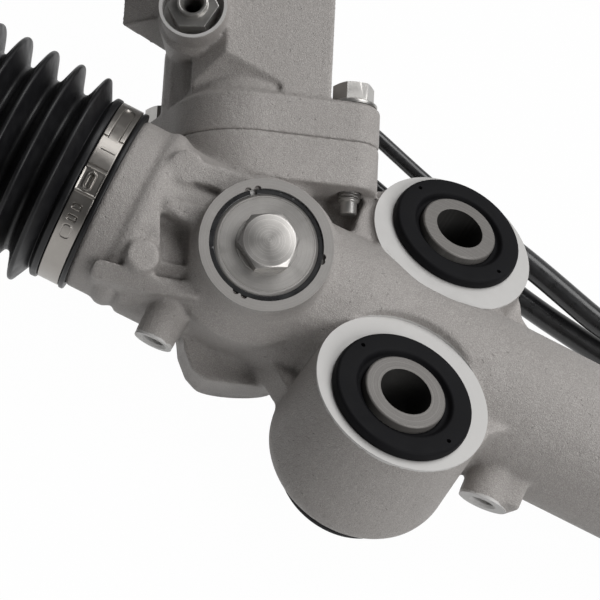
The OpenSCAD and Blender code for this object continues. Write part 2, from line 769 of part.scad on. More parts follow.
// Tube nut over a line, on the local Z axis
module line_nut() {
    difference() {
        union() {
            cylinder(r = 5.9, h = 8);
            translate([0, 0, 8]) hex_head(15, 11);
        }
        translate([0, 0, -1]) cylinder(r = line_r + 0.08, h = 30);
    }
}

module line_nuts() {
    color("#8b8780") {
        at_pinion() for (p = line_ports)
            translate([port_face - 8, -p[0], p[1]]) rotate([0, 90, 0]) line_nut();
        each_line_port() translate([0, 0, 31]) line_nut();
    }
}

// Outer radius of a fold or the valley after it, and the thickness of the rubber
folds = 14;
function fold_top(k) = fold_r - max(0, k - 5) * 1.75;
function fold_low(k) = fold_top(k) - 9.5;

// Boot in its own frame: Z leads away from the housing end
module boot() {
    wall = 1.5;
    first = 7;
    outer = [for (k = [0 : folds - 1]) let(top = first + k * fold_pitch, low = top + fold_pitch / 2)
        each [[fold_top(k) - 0.5, top - 0.9], [fold_top(k), top], [fold_top(k) - 0.5, top + 0.9],
            [fold_low(k), low - 0.8], [fold_low(k), low + 0.8]]];
    inner = [for (k = [folds - 1 : -1 : 0]) each [[fold_low(k) - wall, first + (k + 0.5) * fold_pitch],
        [fold_top(k) - 2.4, first + k * fold_pitch]]];
    rotate_extrude() polygon(concat([[seat_r, -11.7], [35.5, -11.7], [35.5, -9.9], [34.1, -9.8],
        [34.1, -1.2], [36, -1.1], [36, 1.2], [33.4, 2.2]], outer,
        [[10.1, boot_len - 9], [10.1, boot_len], [rod_r + fit, boot_len], [rod_r + fit, boot_len - 10]],
        inner, [[30.6, 0.3], [seat_r, 0]]));
}

// Crimped band on the boot's large cuff, with its overlapped end, ear and hooks' windows
module boot_band() {
    width = 8.2;
    reach = 60;
    translate([0, 0, -9.6]) {
        difference() {
            ring(35, 34.1, width);
            for (a = [52.6, 60.9]) rotate(a) translate([30, -0.9, 2.6]) cube([10, 1.8, 3]);
        }
        intersection() {
            ring(35.7, 34.9, width);
            linear_extrude(height = width)
                polygon([[0, 0], reach * [cos(2), sin(2)], reach * [cos(46), sin(46)]]);
        }
        rotate(38) translate([34.6, -4.2, 1.4]) difference() {
            cube([3, 8.4, width - 2.8]);
            translate([-1, 2.7, 1.3]) cube([6, 3, 2.8]);
        }
        rotate(69.4) translate([34.6, -2.2, 2.4]) cube([0.9, 4.4, 3.4]);
    }
}

module left_end_frame() {
    along_x(left_end) mirror([0, 0, 1]) children();
}

module right_end_frame() {
    along_x(right_end) children();
}

module left_boot() {
    color("#141414") left_end_frame() boot();
}

module right_boot() {
    color("#141414") right_end_frame() boot();
}

module left_boot_band() {
    color("#b9b6b1") left_end_frame() rotate(180) boot_band();
}

module right_boot_band() {
    color("#b9b6b1") right_end_frame() boot_band();
}

module rack_bar() {
    color("#b0aeab") difference() {
        along_x(rack_left) chamfered(rack_r, rack_right - rack_left, 1);
        at_yoke() {
            translate([-toothed_len / 2, -20, -tip_h - 10]) cube([toothed_len, 40, 10]);
            for (k = [-14 : 14]) rack_space(k * tooth_pitch);
        }
        rod_x(rack_left - 1, rack_left + 21, thread_r);
        rod_x(rack_right - 21, rack_right + 1, thread_r);
    }
}

module piston() {
    color("#a5a3a0") difference() {
        rod_x(piston_x - piston_w / 2, piston_x + piston_w / 2, cyl_r - 0.6, rack_r);
        rod_x(piston_x - 2, piston_x + 2, cyl_r, cyl_r - 2.5);
    }
}

module piston_ring() {
    color("#4d4a45") rod_x(piston_x - 2, piston_x + 2, cyl_r - fit, cyl_r - 2.5);
}

// Socket of the inner ball joint: Z points to the rack bar, the ball centre is at 0
module socket() {
    difference() {
        union() {
            rotate_extrude() polygon([[0, 25.5], [16, 25.5], [18.5, 23], [18.5, -9], [17.6, -13],
                [16.6, -15], [0, -15]]);
            translate([0, 0, 25]) cylinder(r = thread_r, h = 20);
        }
        sphere(r = ball_r + 2);
        translate([0, 0, -16]) cylinder(r1 = 14.2, r2 = 10.4, h = 9);
        translate([0, 0, -8]) cylinder(r = 10.4, h = 8);
        for (m = [-1, 1]) translate([m * 21, 0, 17]) cube([8, 40, 9], center = true);
    }
}

// Lined seat round the ball, inside the socket
module ball_seat() {
    difference() {
        sphere(r = ball_r + 2);
        sphere(r = ball_r + fit);
        translate([0, 0, -30 - 6]) cylinder(r = 20, h = 30);
    }
}

// Puts a piece at the left or right inner ball joint, with Z to the rack bar
module at_ball(side) {
    if (side < 0) along_x(left_ball) children();
    else along_x(right_ball) mirror([0, 0, 1]) children();
}

module left_socket() {
    color("#77746f") at_ball(-1) socket();
}

module right_socket() {
    color("#77746f") at_ball(1) socket();
}

module socket_washers() {
    color("#8c8984") for (s = [-1, 1]) at_ball(s) translate([0, 0, 25.5]) ring(17, thread_r, 1.5);
}

module ball_seats() {
    color("#d8d2c4") for (s = [-1, 1]) at_ball(s) ball_seat();
}

module pinion_shaft() {
    color("#aaa8a4") at_pinion() difference() {
        union() {
            pinion_teeth();
            translate([0, 0, -29.5]) chamfered(7, 20, 0.6);
            translate([0, 0, pinion_len / 2 - eps]) cylinder(r = 9, h = 4 + eps);
            translate([0, 0, 20.9]) cylinder(r = 10, h = 16);
            translate([0, 0, 35]) cylinder(r = 11, h = 14);
            translate([0, 0, 48]) cylinder(r = 14, h = 12);
        }
        translate([0, 0, 10]) cylinder(r = 4, h = 60);
        translate([0, 0, 51]) intersection() {
            cylinder(r = 8.2, h = 20);
            translate([-5.95, -20, -1]) cube([11.9, 40, 30]);
        }
    }
}

module valve_sleeve() {
    color("#9f9d99") at_pinion() difference() {
        translate([0, 0, 60]) ring(valve_bore_r - 0.6, 11 + fit, 45.5);
        for (z = [65, 77, 89, 101]) translate([0, 0, z]) ring(valve_bore_r, valve_bore_r - 2, 2.4);
    }
}

module valve_rings() {
    color("#3d3b38") at_pinion() for (z = [65, 77, 89, 101])
        translate([0, 0, z]) ring(valve_bore_r - fit, valve_bore_r - 2, 2.4);
}

module torsion_bar() {
    color("#8e8c89") at_pinion() translate([0, 0, 10]) rotate_extrude() polygon([[0, 0], [4, 0], [4, 26],
        [2.7, 30], [2.7, 96], [4, 100], [4, 124], [0, 124]]);
}

// Splined input shaft over the torsion bar, with the flats that limit its twist
module input_shaft() {
    teeth = 36;
    color("#b3b1ad") at_pinion() difference() {
        union() {
            translate([0, 0, 51.2]) intersection() {
                cylinder(r = 7.8, h = 12);
                translate([-5.5, -20, 0]) cube([11, 40, 30]);
            }
            translate([0, 0, 60.2]) cylinder(r = 11, h = 46);
            translate([0, 0, 106]) cylinder(r = input_r, h = 26);
            translate([0, 0, 131.9]) cylinder(r = input_r - 1, h = input_h - 132.4);
            for (z = [[133, 11.5], [148.5, input_h - 150]]) translate([0, 0, z[0]])
                linear_extrude(height = z[1]) polygon([for (i = [0 : 2 * teeth - 1])
                    (input_r - (i % 2) * 0.9) * [cos(180 * i / teeth), sin(180 * i / teeth)]]);
        }
        translate([0, 0, 50]) cylinder(r = 4 + fit, h = 84.5);
    }
}

// Tie rod with its ball at 0, leading away along Z
module tie_rod() {
    cuff = boot_len - ball_out;
    difference() {
        union() {
            sphere(r = ball_r);
            cylinder(r = 6.5, h = 30);
            rotate_extrude() polygon([[0, 26], [6.5, 26], [rod_r, 32], [rod_r, cuff], [10, cuff + 0.3],
                [10, cuff + 2.2], [rod_r, cuff + 3], [rod_r, nut_at], [groove_r, nut_at],
                [groove_r, nut_at + nut_h + 0.4], [thread_r, nut_at + nut_h + 1],
                [thread_r, rod_len - 1.5], [thread_r - 1.5, rod_len], [0, rod_len]]);
        }
        for (m = [-1, 1]) translate([m * 9, 0, 113]) cube([5, 30, 12], center = true);
    }
}

// Jam nut against the shoulder where the tie rod's thread starts
module jam_nut() {
    difference() {
        translate([0, 0, nut_at]) hex_head(22, nut_h);
        translate([0, 0, nut_at - 1]) cylinder(r = groove_r + fit, h = 30);
    }
}

// Spring clip on the boot's small cuff
module rod_clip() {
    cuff = boot_len - ball_out;
    translate([0, 0, cuff - 6]) ring(11.2, 10.12, 6);
    translate([0, 0, cuff]) ring(11.2, 10, 1.6);
    for (a = [-14, 14]) rotate(a) translate([10.6, -0.9, cuff - 4.5]) cube([6, 1.8, 3.6]);
}

// Puts a tie rod piece on the left or right ball, with Z leading away from the rack
module at_rod(side) {
    if (side < 0) along_x(left_ball) mirror([0, 0, 1]) children();
    else along_x(right_ball) children();
}

module left_tie_rod() {
    color("#6d6a66") at_rod(-1) tie_rod();
}

module left_jam_nut() {
    color("#8f8b85") at_rod(-1) jam_nut();
}

module left_rod_clip() {
    color("#a7a39d") at_rod(-1) rod_clip();
}

module right_tie_rod() {
    color("#6d6a66") at_rod(1) tie_rod();
}

module right_jam_nut() {
    color("#8f8b85") at_rod(1) jam_nut();
}

module right_rod_clip() {
    color("#a7a39d") at_rod(1) rod_clip();
}

rack_housing();
valve_housing();
valve_housing_bolts();
joint_seal();
inlet_fitting();
return_fitting();
shaft_dust_seal();
valve_top_bearing();
pinion_seal();
pinion_top_bearing();
pinion_low_bearing();
bearing_ring();
rack_yoke();
yoke_liner();
yoke_spring();
yoke_plug();
yoke_lock_ring();
bush_sleeves();
bush_rubbers_top();
bush_rubbers_bottom();
cylinder_liner();
inner_rack_seal();
outer_rack_seal();
rod_bushing();
left_stop_ring();
right_stop_ring();
near_line();
far_line();
line_nuts();
left_boot();
right_boot();
left_boot_band();
right_boot_band();
rack_bar();
piston();
piston_ring();
left_socket();
right_socket();
socket_washers();
ball_seats();
pinion_shaft();
valve_sleeve();
valve_rings();
torsion_bar();
input_shaft();
left_tie_rod();
left_jam_nut();
left_rod_clip();
right_tie_rod();
right_jam_nut();
right_rod_clip();
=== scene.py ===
"""Looks of a hydraulic steering rack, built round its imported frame.

Lengths in the classes are millimetres, as on the gear's drawing, and become metres where a mesh
is made. X runs along the rack, Y to the rear and Z up along the mounting bolts.
"""

import json
import logging
import math
from dataclasses import dataclass, field
from enum import Enum
from typing import Iterable, Sequence

import bmesh
import bpy
from mathutils import Matrix, Vector

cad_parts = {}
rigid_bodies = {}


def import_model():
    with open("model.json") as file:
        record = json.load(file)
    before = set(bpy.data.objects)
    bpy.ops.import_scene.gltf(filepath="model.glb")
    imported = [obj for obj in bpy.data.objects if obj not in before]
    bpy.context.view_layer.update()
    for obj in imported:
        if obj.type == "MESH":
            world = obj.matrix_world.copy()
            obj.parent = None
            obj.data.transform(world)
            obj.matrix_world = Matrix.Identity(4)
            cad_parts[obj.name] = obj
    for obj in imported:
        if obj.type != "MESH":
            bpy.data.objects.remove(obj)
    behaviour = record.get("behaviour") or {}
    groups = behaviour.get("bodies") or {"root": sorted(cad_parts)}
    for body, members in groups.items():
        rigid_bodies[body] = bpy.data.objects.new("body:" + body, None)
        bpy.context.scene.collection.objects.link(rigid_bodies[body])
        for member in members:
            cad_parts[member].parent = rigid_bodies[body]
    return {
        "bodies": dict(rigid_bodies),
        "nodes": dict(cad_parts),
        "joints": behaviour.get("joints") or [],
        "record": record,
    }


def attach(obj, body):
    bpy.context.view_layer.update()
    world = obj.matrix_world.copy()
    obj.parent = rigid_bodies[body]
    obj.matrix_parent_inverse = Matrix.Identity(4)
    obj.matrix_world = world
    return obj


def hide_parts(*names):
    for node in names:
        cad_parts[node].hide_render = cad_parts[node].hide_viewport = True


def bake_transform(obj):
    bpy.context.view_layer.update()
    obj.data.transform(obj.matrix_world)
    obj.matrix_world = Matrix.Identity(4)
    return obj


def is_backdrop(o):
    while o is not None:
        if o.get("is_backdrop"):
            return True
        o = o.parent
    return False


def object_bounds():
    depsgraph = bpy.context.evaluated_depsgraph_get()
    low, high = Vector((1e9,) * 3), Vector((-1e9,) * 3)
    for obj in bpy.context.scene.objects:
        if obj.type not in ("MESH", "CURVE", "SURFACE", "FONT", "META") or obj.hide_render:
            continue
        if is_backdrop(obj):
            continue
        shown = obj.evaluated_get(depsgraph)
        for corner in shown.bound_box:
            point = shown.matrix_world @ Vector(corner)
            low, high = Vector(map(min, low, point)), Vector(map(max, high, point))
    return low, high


LOG = logging.getLogger("steering_rack")
MM = 0.001

PINION_X = 64.6
PINION_BELOW_RACK = 18.052
YOKE_TILT = 28.0
PINION_LEAN = 22.0
LEFT_END = -134.0
RIGHT_END = 291.0
FLOOR_GAP = 0.0005

# Places of the three mounting bushes in the plan
BUSH_PLACES = ((0.0, 44.4), (0.0, -44.4), (214.0, -44.4))

# Ports of the transfer lines on the cylinder, by place along the rack and turn in degrees
NEAR_PORT = (106.0, -15.0)
FAR_PORT = (242.0, -8.0)

# Their unions on the valve housing, by Y and Z in the pinion's frame
NEAR_UNION = (32.0, 60.0)
FAR_UNION = (22.0, 78.0)

# Sizes of the stains, patches, specks and dust in a finish
STAIN_MM = 34.0
PATCH_MM = 5.0
SPECK_MM = 0.9
DUST_MM = 0.4

# Width of the wear and painted highlight on an edge, height of a thread's ridge, and brightness of
# the painted shade in creases
EDGE_MM = 0.45
RIDGE_MM = 0.42
CREASE_SHADE_LEVEL = 0.45

# Flats round a large turned piece, and round a bush or a tool
FINE_STEPS = 160
TOOL_STEPS = 128

Pair = tuple[float, float]
Triple = tuple[float, float, float]


def mm(*values: float) -> Vector:
    """Gives a point in millimetres as a vector in metres."""
    return Vector(values) * MM


def rack_frame(x: float, outward: int = 1) -> Matrix:
    """Frame on the rack axis whose Z runs along the rack.

    Args:
        x: Place along the rack, in millimetres.
        outward: 1 for Z to the right end of the gear, -1 for Z to the left end.

    Returns:
        The frame in metres.
    """
    return Matrix.Translation(mm(x, 0, 0)) @ Matrix.Rotation(math.radians(90 * outward), 4, "Y")


def yoke_frame() -> Matrix:
    """Gives the frame of the yoke: Z along its axis, X along the rack."""
    tilt = Matrix.Rotation(math.radians(YOKE_TILT), 4, "X")
    return Matrix.Translation(mm(-PINION_X, 0, 0)) @ tilt


def pinion_frame() -> Matrix:
    """Gives the frame of the pinion: Z up its axis, Y away from the yoke.

    Returns:
        The frame in metres.
    """
    lean = Matrix.Rotation(math.radians(PINION_LEAN), 4, "Z")
    drop = Matrix.Translation(mm(0, 0, -PINION_BELOW_RACK))
    return yoke_frame() @ lean @ drop @ Matrix.Rotation(math.radians(-90), 4, "X")


def bush_frame(x: float, y: float) -> Matrix:
    """Gives the frame of a bush or its boss: Z up, at this place in the plan."""
    return Matrix.Translation(mm(x, y, 0))


def offset_frame(base: Matrix, x: float, y: float, z: float, tilt: Triple = (0, 0, 0)) -> Matrix:
    """Moves a frame within itself and then turns it.

    Args:
        base: The frame to start from.
        x: Move along its X, in millimetres.
        y: Move along its Y.
        z: Move along its Z.
        tilt: Turns about X, Y and Z in degrees, applied in that order to the new frame.

    Returns:
        The new frame.
    """
    turned = Matrix.Identity(4)
    for axis, angle in zip("ZYX", reversed(tilt)):
        turned = turned @ Matrix.Rotation(math.radians(angle), 4, axis)
    return base @ Matrix.Translation(mm(x, y, z)) @ turned


class Grain(Enum):
    """How a surface was made, which sets its small relief."""

    SAND = "sand cast"
    MILLED = "milled"
    TURNED = "turned on a lathe"
    DRAWN = "drawn along its length"
    PLATED = "plated"
    MOULDED = "moulded rubber or plastic"
    FORGED = "forged"


class Skin(Enum):
    """Surface of a machined feature, by its place in a casting's list of materials."""

    CAST = 0
    MILLED = 1
    RING = 2


class Machining(Enum):
    """What a tool does to a piece."""

    ADD = "UNION"
    CUT = "DIFFERENCE"
    KEEP = "INTERSECT"


class End(Enum):
    """One end of the gear, by the way outward from it along the rack."""

    LEFT = -1
    RIGHT = 1

    @property
    def word(self) -> str:
        """Word for this end in the names of its pieces."""
        return self.name.lower()

    @property
    def x(self) -> float:
        """Place of the housing's end along the rack, in millimetres."""
        return LEFT_END if self is End.LEFT else RIGHT_END


class Shader:
    """Adds and wires the nodes of one material."""

    def __init__(self, name: str) -> None:
        """Starts a material with its main shader.

        Args:
            name: Name of the material.
        """
        self.material = bpy.data.materials.new(name)
        self.material.use_nodes = True
        self.tree = self.material.node_tree
        self.bsdf = self.tree.nodes["Principled BSDF"]

    def add(self, kind: str, **settings: object) -> bpy.types.ShaderNode:
        """Adds a node.

        Args:
            kind: The node's type without its common prefix.
            **settings: Properties of the node.

        Returns:
            The node.
        """
        node = self.tree.nodes.new("ShaderNode" + kind)
        for key, value in settings.items():
            setattr(node, key, value)
        return node

    def wire(self, source: object, target: object) -> None:
        """Links a source socket, or sets a plain value, on a target socket.

        Args:
            source: Socket or value.
            target: Socket that takes it.
        """
        if isinstance(source, bpy.types.NodeSocket):
            self.tree.links.new(source, target)
        else:
            target.default_value = source

    def calc(self, operation: str, a: object, b: object = 0.0) -> bpy.types.NodeSocket:
        """Does one sum on two sockets or numbers.

        Args:
            operation: Name of the sum.
            a: First socket or number.
            b: Second socket or number.

        Returns:
            The result's socket.
        """
        node = self.add("Math", operation=operation)
        self.wire(a, node.inputs[0])
        self.wire(b, node.inputs[1])
        return node.outputs[0]

    def noise(self, place: object, size_mm: float, detail: float = 2.0,
              stretch: Triple = (1, 1, 1)) -> bpy.types.NodeSocket:
        """Random pattern with lumps of about this size.

        Args:
            place: Socket with the place in metres.
            size_mm: Size of a lump in millimetres.
            detail: How many finer layers it has.
            stretch: Shares by which the place is scaled on each axis first.

        Returns:
            The socket of its strength, from 0 to 1.
        """
        scaled = self.add("VectorMath", operation="MULTIPLY")
        self.wire(place, scaled.inputs[0])
        scaled.inputs[1].default_value = stretch
        node = self.add("TexNoise")
        self.wire(scaled.outputs[0], node.inputs["Vector"])
        node.inputs["Scale"].default_value = 1 / (size_mm * MM)
        node.inputs["Detail"].default_value = detail
        return node.outputs[0]

    def spread(self, value: object, low: float, high: float, to_low: float = 0.0,
               to_high: float = 1.0) -> bpy.types.NodeSocket:
        """Maps a range of a value onto another range, held at its ends.

        Args:
            value: Socket to map.
            low: Value that becomes to_low.
            high: Value that becomes to_high.
            to_low: Result at the low end.
            to_high: Result at the high end.

        Returns:
            The mapped socket.
        """
        node = self.add("MapRange")
        self.wire(value, node.inputs["Value"])
        keys = ("From Min", "From Max", "To Min", "To Max")
        for key, number in zip(keys, (low, high, to_low, to_high)):
            node.inputs[key].default_value = number
        return node.outputs[0]

    def mix(self, share: object, first: object, second: object) -> bpy.types.NodeSocket:
        """Mixes two colours by a share.

        Args:
            share: Socket with the share of the second colour.
            first: Socket or colour at a share of 0.
            second: Socket or colour at a share of 1.

        Returns:
            The socket of the mixed colour.
        """
        node = self.add("Mix", data_type="RGBA")
        self.wire(share, node.inputs[0])
        for index, colour in ((6, first), (7, second)):
            self.wire((*colour, 1.0) if isinstance(colour, tuple) else colour, node.inputs[index])
        return node.outputs[2]

    def place(self, frame: Matrix) -> bpy.types.NodeSocket:
        """Finds a point's place in a frame fixed to the piece.

        Args:
            frame: The frame, in metres.

        Returns:
            The socket of the place.
        """
        mapping = self.add("Mapping", vector_type="TEXTURE")
        mapping.inputs["Location"].default_value = frame.to_translation()
        mapping.inputs["Rotation"].default_value = frame.to_euler("XYZ")
        self.wire(self.add("TexCoord").outputs["Object"], mapping.inputs["Vector"])
        return mapping.outputs[0]


@dataclass(frozen=True)
class Finish:
    """One surface finish of the gear.

    Attributes:
        name: Name of the material.
        slot: The record's material slot. It is not used.
        colour: Main colour.
        wear_and_highlight: Colour of its scuffed or dusty patches, and of the painted highlight on
            its raised edges.
        grain: How the surface was made.
        metal: Share of metal in the shader.
        rough: Mean roughness.
        uneven: How far the roughness strays to each side.
        relief: Height of the grain, in millimetres.
        grain_mm: Size of the grain, in millimetres.
        edge: How much the raised edges are painted lighter, as wear and painted highlight.
        coat: Weight of a clear coat.
        gloss: Level of the mirror reflection, where 0.5 is plain.
        brushed: How far the highlight is drawn out round the axis of the frame.
    """

    name: str
    slot: str
    colour: Triple
    wear_and_highlight: Triple
    grain: Grain
    metal: float = 0.0
    rough: float = 0.5
    uneven: float = 0.08
    relief: float = 0.02
    grain_mm: float = 0.6
    edge: float = 0.4
    coat: float = 0.0
    gloss: float = 0.5
    brushed: float = 0.0

    def relief_of(self, shader: Shader, place: object) -> bpy.types.NodeSocket:
        """Height pattern of the grain.

        Args:
            shader: The material's nodes.
            place: Socket of the place in the piece's own frame.

        Returns:
            The socket of the height, from about 0 to 1.
        """
        fine = shader.noise(place, self.grain_mm, 3.0)
        if self.grain is Grain.SAND:
            coarse = shader.noise(place, self.grain_mm * 4.5, 2.0)
            pits = shader.noise(place, self.grain_mm * 3.1, 1.0)
            pits = shader.spread(pits, 0.68, 0.8, 0.0, -0.8)
            grains = shader.calc("ADD", fine, shader.calc("MULTIPLY", coarse, 0.8))
            return shader.calc("ADD", grains, pits)
        if self.grain in (Grain.TURNED, Grain.MILLED):
            flat = shader.add("VectorMath", operation="MULTIPLY")
            shader.wire(place, flat.inputs[0])
            flat.inputs[1].default_value = (1, 1, 0)
            length = shader.add("VectorMath", operation="LENGTH")
            shader.wire(flat.outputs[0], length.inputs[0])
            ring = shader.add("CombineXYZ")
            shader.wire(length.outputs["Value"], ring.inputs["X"])
            rings = shader.noise(ring.outputs[0], self.grain_mm, 2.0)
            return shader.calc("ADD", rings, shader.calc("MULTIPLY", fine, 0.3))
        if self.grain is Grain.DRAWN:
            return shader.noise(place, self.grain_mm, 2.0, (1, 1, 0.03))
        if self.grain is Grain.FORGED:
            return shader.calc("ADD", fine, shader.noise(place, self.grain_mm * 7, 2.0))
        if self.grain is Grain.MOULDED:
            lines = shader.noise(place, self.grain_mm * 3, 1.0, (1, 1, 0.25))
            return shader.calc("ADD", shader.calc("MULTIPLY", fine, 0.5), lines)
        return fine

    def material(self, frame: Matrix | None = None,
                 thread: Triple | None = None) -> bpy.types.Material:
        """Builds the material.

        Args:
            frame: Frame that the grain follows, such as a lathe's axis along Z.
            thread: Start, end and pitch of a screw thread along the frame's Z, in millimetres.

        Returns:
            The material.
        """
        shader = Shader(self.name)
        bsdf = shader.bsdf
        bsdf.inputs["Metallic"].default_value = self.metal
        bsdf.inputs["Coat Weight"].default_value = self.coat
        bsdf.inputs["Specular IOR Level"].default_value = self.gloss
        place = shader.place(frame or Matrix.Identity(4))
        cloud = shader.noise(place, STAIN_MM, 4.0)
        patch = shader.noise(place, PATCH_MM, 4.0)
        speck = shader.noise(place, SPECK_MM, 2.0)
        clouded, patched = shader.spread(cloud, 0.38, 0.66), shader.spread(patch, 0.36, 0.68)
        share = shader.calc("MULTIPLY", shader.calc("MULTIPLY", clouded, patched), 0.55)
        share = shader.calc("ADD", share, shader.spread(speck, 0.6, 0.75, 0.0, 0.22))
        if self.grain is Grain.SAND:
            dust = shader.noise(place, DUST_MM, 1.0)
            share = shader.calc("ADD", share, shader.spread(dust, 0.32, 0.68, -0.55, 0.8))
        # Raised edges take the lighter colour, as wear and painted highlight, and creases a darker
        # one, as painted shade.
        raised, hollow = self.edges_of(shader)
        height = self.relief_of(shader, place)
        if self.grain is Grain.TURNED:
            share = shader.calc("ADD", share, shader.spread(height, 0.5, 0.8, -0.4, 0.6))
        share = shader.calc("MINIMUM", shader.calc("ADD", share, raised), 1.0)
        share = shader.calc("MAXIMUM", share, 0.0)
        colour = shader.mix(share, self.colour, self.wear_and_highlight)
        # Creases take a darker copy of the main colour, in patches: painted shade.
        crease_shade = tuple(part * CREASE_SHADE_LEVEL for part in self.colour)
        hollow = shader.calc("MULTIPLY", hollow, shader.spread(patch, 0.25, 0.6, 0.35, 1.0))
        shader.wire(shader.mix(hollow, colour, crease_shade), bsdf.inputs["Base Color"])
        rough = shader.spread(patch, 0.3, 0.7, self.rough - self.uneven, self.rough + self.uneven)
        shader.wire(rough, bsdf.inputs["Roughness"])
        if self.brushed:
            bsdf.inputs["Anisotropic"].default_value = self.brushed
            marks = self.round_axis(shader, place, frame or Matrix.Identity(4))
            shader.wire(marks, bsdf.inputs["Tangent"])
        bump = shader.add("Bump")
        bump.inputs["Strength"].default_value = 1.0
        bump.inputs["Distance"].default_value = self.relief * MM
        shader.wire(height, bump.inputs["Height"])
        if thread:
            shader.wire(self.thread_normal(shader, place, thread, bump), bsdf.inputs["Normal"])
        else:
            shader.wire(bump.outputs[0], bsdf.inputs["Normal"])
        return shader.material

    def edges_of(self, shader: Shader) -> tuple[bpy.types.NodeSocket, bpy.types.NodeSocket]:
        """Finds the edges that are painted lighter, as wear and painted highlight, and the creases
        that are painted darker, as painted shade.

        Args:
            shader: The material's nodes.

        Returns:
            The sockets of the lighter edge share and of the painted shade share.
        """
        geometry = shader.add("NewGeometry")
        if self.grain is Grain.SAND:
            # By pointiness: convex edges are painted lighter as wear and painted highlight, concave
            # creases darker as painted shade.
            bend = geometry.outputs["Pointiness"]
            wear_and_highlight = shader.spread(bend, 0.505, 0.56, 0.0, self.edge)
            return wear_and_highlight, shader.spread(bend, 0.497, 0.44, 0.0, 0.6)
        # By the bevel test: gently bent edges are painted lighter as wear and painted highlight,
        # the sharpest edges darker as painted shade.
        round_off = shader.add("Bevel", samples=4)
        round_off.inputs["Radius"].default_value = EDGE_MM * MM
        likeness = shader.add("VectorMath", operation="DOT_PRODUCT")
        shader.wire(round_off.outputs[0], likeness.inputs[0])
        shader.wire(geometry.outputs["Normal"], likeness.inputs[1])
        bend = likeness.outputs["Value"]
        wear_and_highlight = shader.spread(bend, 0.98, 0.86, 0.0, self.edge)
        return wear_and_highlight, shader.spread(bend, 0.8, 0.6, 0.0, 0.25)

    def round_axis(self, shader: Shader, place: object, frame: Matrix) -> bpy.types.NodeSocket:
        """Direction of the tool marks round the frame's Z axis.

        Args:
            shader: The material's nodes.
            place: Socket of the place in the frame.
            frame: The frame that the marks follow.

        Returns:
            The socket of the direction in the world.
        """
        across = shader.add("VectorMath", operation="CROSS_PRODUCT")
        across.inputs[0].default_value = (0, 0, 1)
        shader.wire(place, across.inputs[1])
        turned = shader.add("Mapping", vector_type="VECTOR")
        turned.inputs["Rotation"].default_value = frame.to_euler("XYZ")
        shader.wire(across.outputs[0], turned.inputs["Vector"])
        world = shader.add("VectorTransform", vector_type="VECTOR",
                           convert_from="OBJECT", convert_to="WORLD")
        shader.wire(turned.outputs[0], world.inputs[0])
        return world.outputs[0]

    def thread_normal(self, shader: Shader, place: object, thread: Triple,
                      grain: bpy.types.ShaderNode) -> bpy.types.NodeSocket:
        """Relief of a screw thread on top of the grain.

        Args:
            shader: The material's nodes.
            place: Socket of the place in the piece's own frame.
            thread: Start, end and pitch, in millimetres.
            grain: The bump node of the grain.

        Returns:
            The socket of the normal.
        """
        start, end, pitch = thread
        split = shader.add("SeparateXYZ")
        shader.wire(place, split.inputs[0])
        along = split.outputs["Z"]
        turn = shader.calc("ARCTAN2", split.outputs["Y"], split.outputs["X"])
        phase = shader.calc("ADD", shader.calc("MULTIPLY", along, 2 * math.pi / (pitch * MM)), turn)
        wave = shader.calc("SINE", phase)
        inside = shader.calc("MULTIPLY", shader.spread(along, start * MM, (start + 1) * MM),
                             shader.spread(along, end * MM, (end - 1) * MM))
        ridge = shader.add("Bump")
        ridge.inputs["Distance"].default_value = RIDGE_MM * MM
        shader.wire(shader.calc("MULTIPLY", wave, inside), ridge.inputs["Height"])
        shader.wire(grain.outputs[0], ridge.inputs["Normal"])
        return ridge.outputs[0]


CAST = Finish("sand cast aluminium", "cast_aluminium", (0.325, 0.305, 0.291), (0.45, 0.427, 0.41),
              Grain.SAND, metal=0.1, rough=0.55, uneven=0.06, relief=0.28, grain_mm=0.42,
              edge=0.3, gloss=0.35)
MACHINED = Finish("milled aluminium face", "cast_aluminium", (0.54, 0.531, 0.519),
                  (0.6, 0.591, 0.58), Grain.MILLED, metal=0.1, rough=0.5, uneven=0.06,
                  relief=0.015, grain_mm=0.5, edge=0.2, gloss=0.4)
FACED = Finish("faced aluminium ring", "cast_aluminium", (0.29, 0.277, 0.265),
               (0.35, 0.337, 0.324), Grain.TURNED, metal=0.15, rough=0.5, uneven=0.05,
               relief=0.012, grain_mm=0.5, edge=0.6, gloss=0.4)
TURNED = Finish("turned aluminium", "turned_aluminium", (0.36, 0.347, 0.333),
                (0.44, 0.425, 0.408), Grain.TURNED, metal=0.7, rough=0.36, uneven=0.05,
                relief=0.012, grain_mm=0.42, edge=0.5, brushed=0.55)
SPUN = Finish("spun aluminium face", "turned_aluminium", (0.39, 0.376, 0.361),
              (0.58, 0.561, 0.541), Grain.TURNED, metal=0.75, rough=0.36, uneven=0.04,
              relief=0.03, grain_mm=0.4, edge=0.6, brushed=0.6)
GROUND = Finish("ground steel", "bright_steel", (0.5, 0.5, 0.5), (0.6, 0.6, 0.6), Grain.DRAWN,
                metal=1.0, rough=0.24, uneven=0.06, relief=0.004, grain_mm=0.5, edge=0.3)
PLATED = Finish("zinc plated steel", "zinc_steel", (0.42, 0.41, 0.395), (0.56, 0.55, 0.53),
                Grain.PLATED, metal=0.85, rough=0.36, uneven=0.08, relief=0.012, grain_mm=0.4,
                edge=0.6)
BAND_STEEL = Finish("crimped band steel", "zinc_steel", (0.31, 0.292, 0.272), (0.43, 0.41, 0.385),
                    Grain.PLATED, metal=0.9, rough=0.34, uneven=0.06, relief=0.006, grain_mm=0.5,
                    edge=0.5)
SLEEVE_STEEL = Finish("bare steel tube", "bush_steel", (0.15, 0.142, 0.134), (0.22, 0.21, 0.2),
                      Grain.TURNED, metal=0.3, rough=0.5, uneven=0.06, relief=0.008,
                      grain_mm=0.55, edge=0.6)
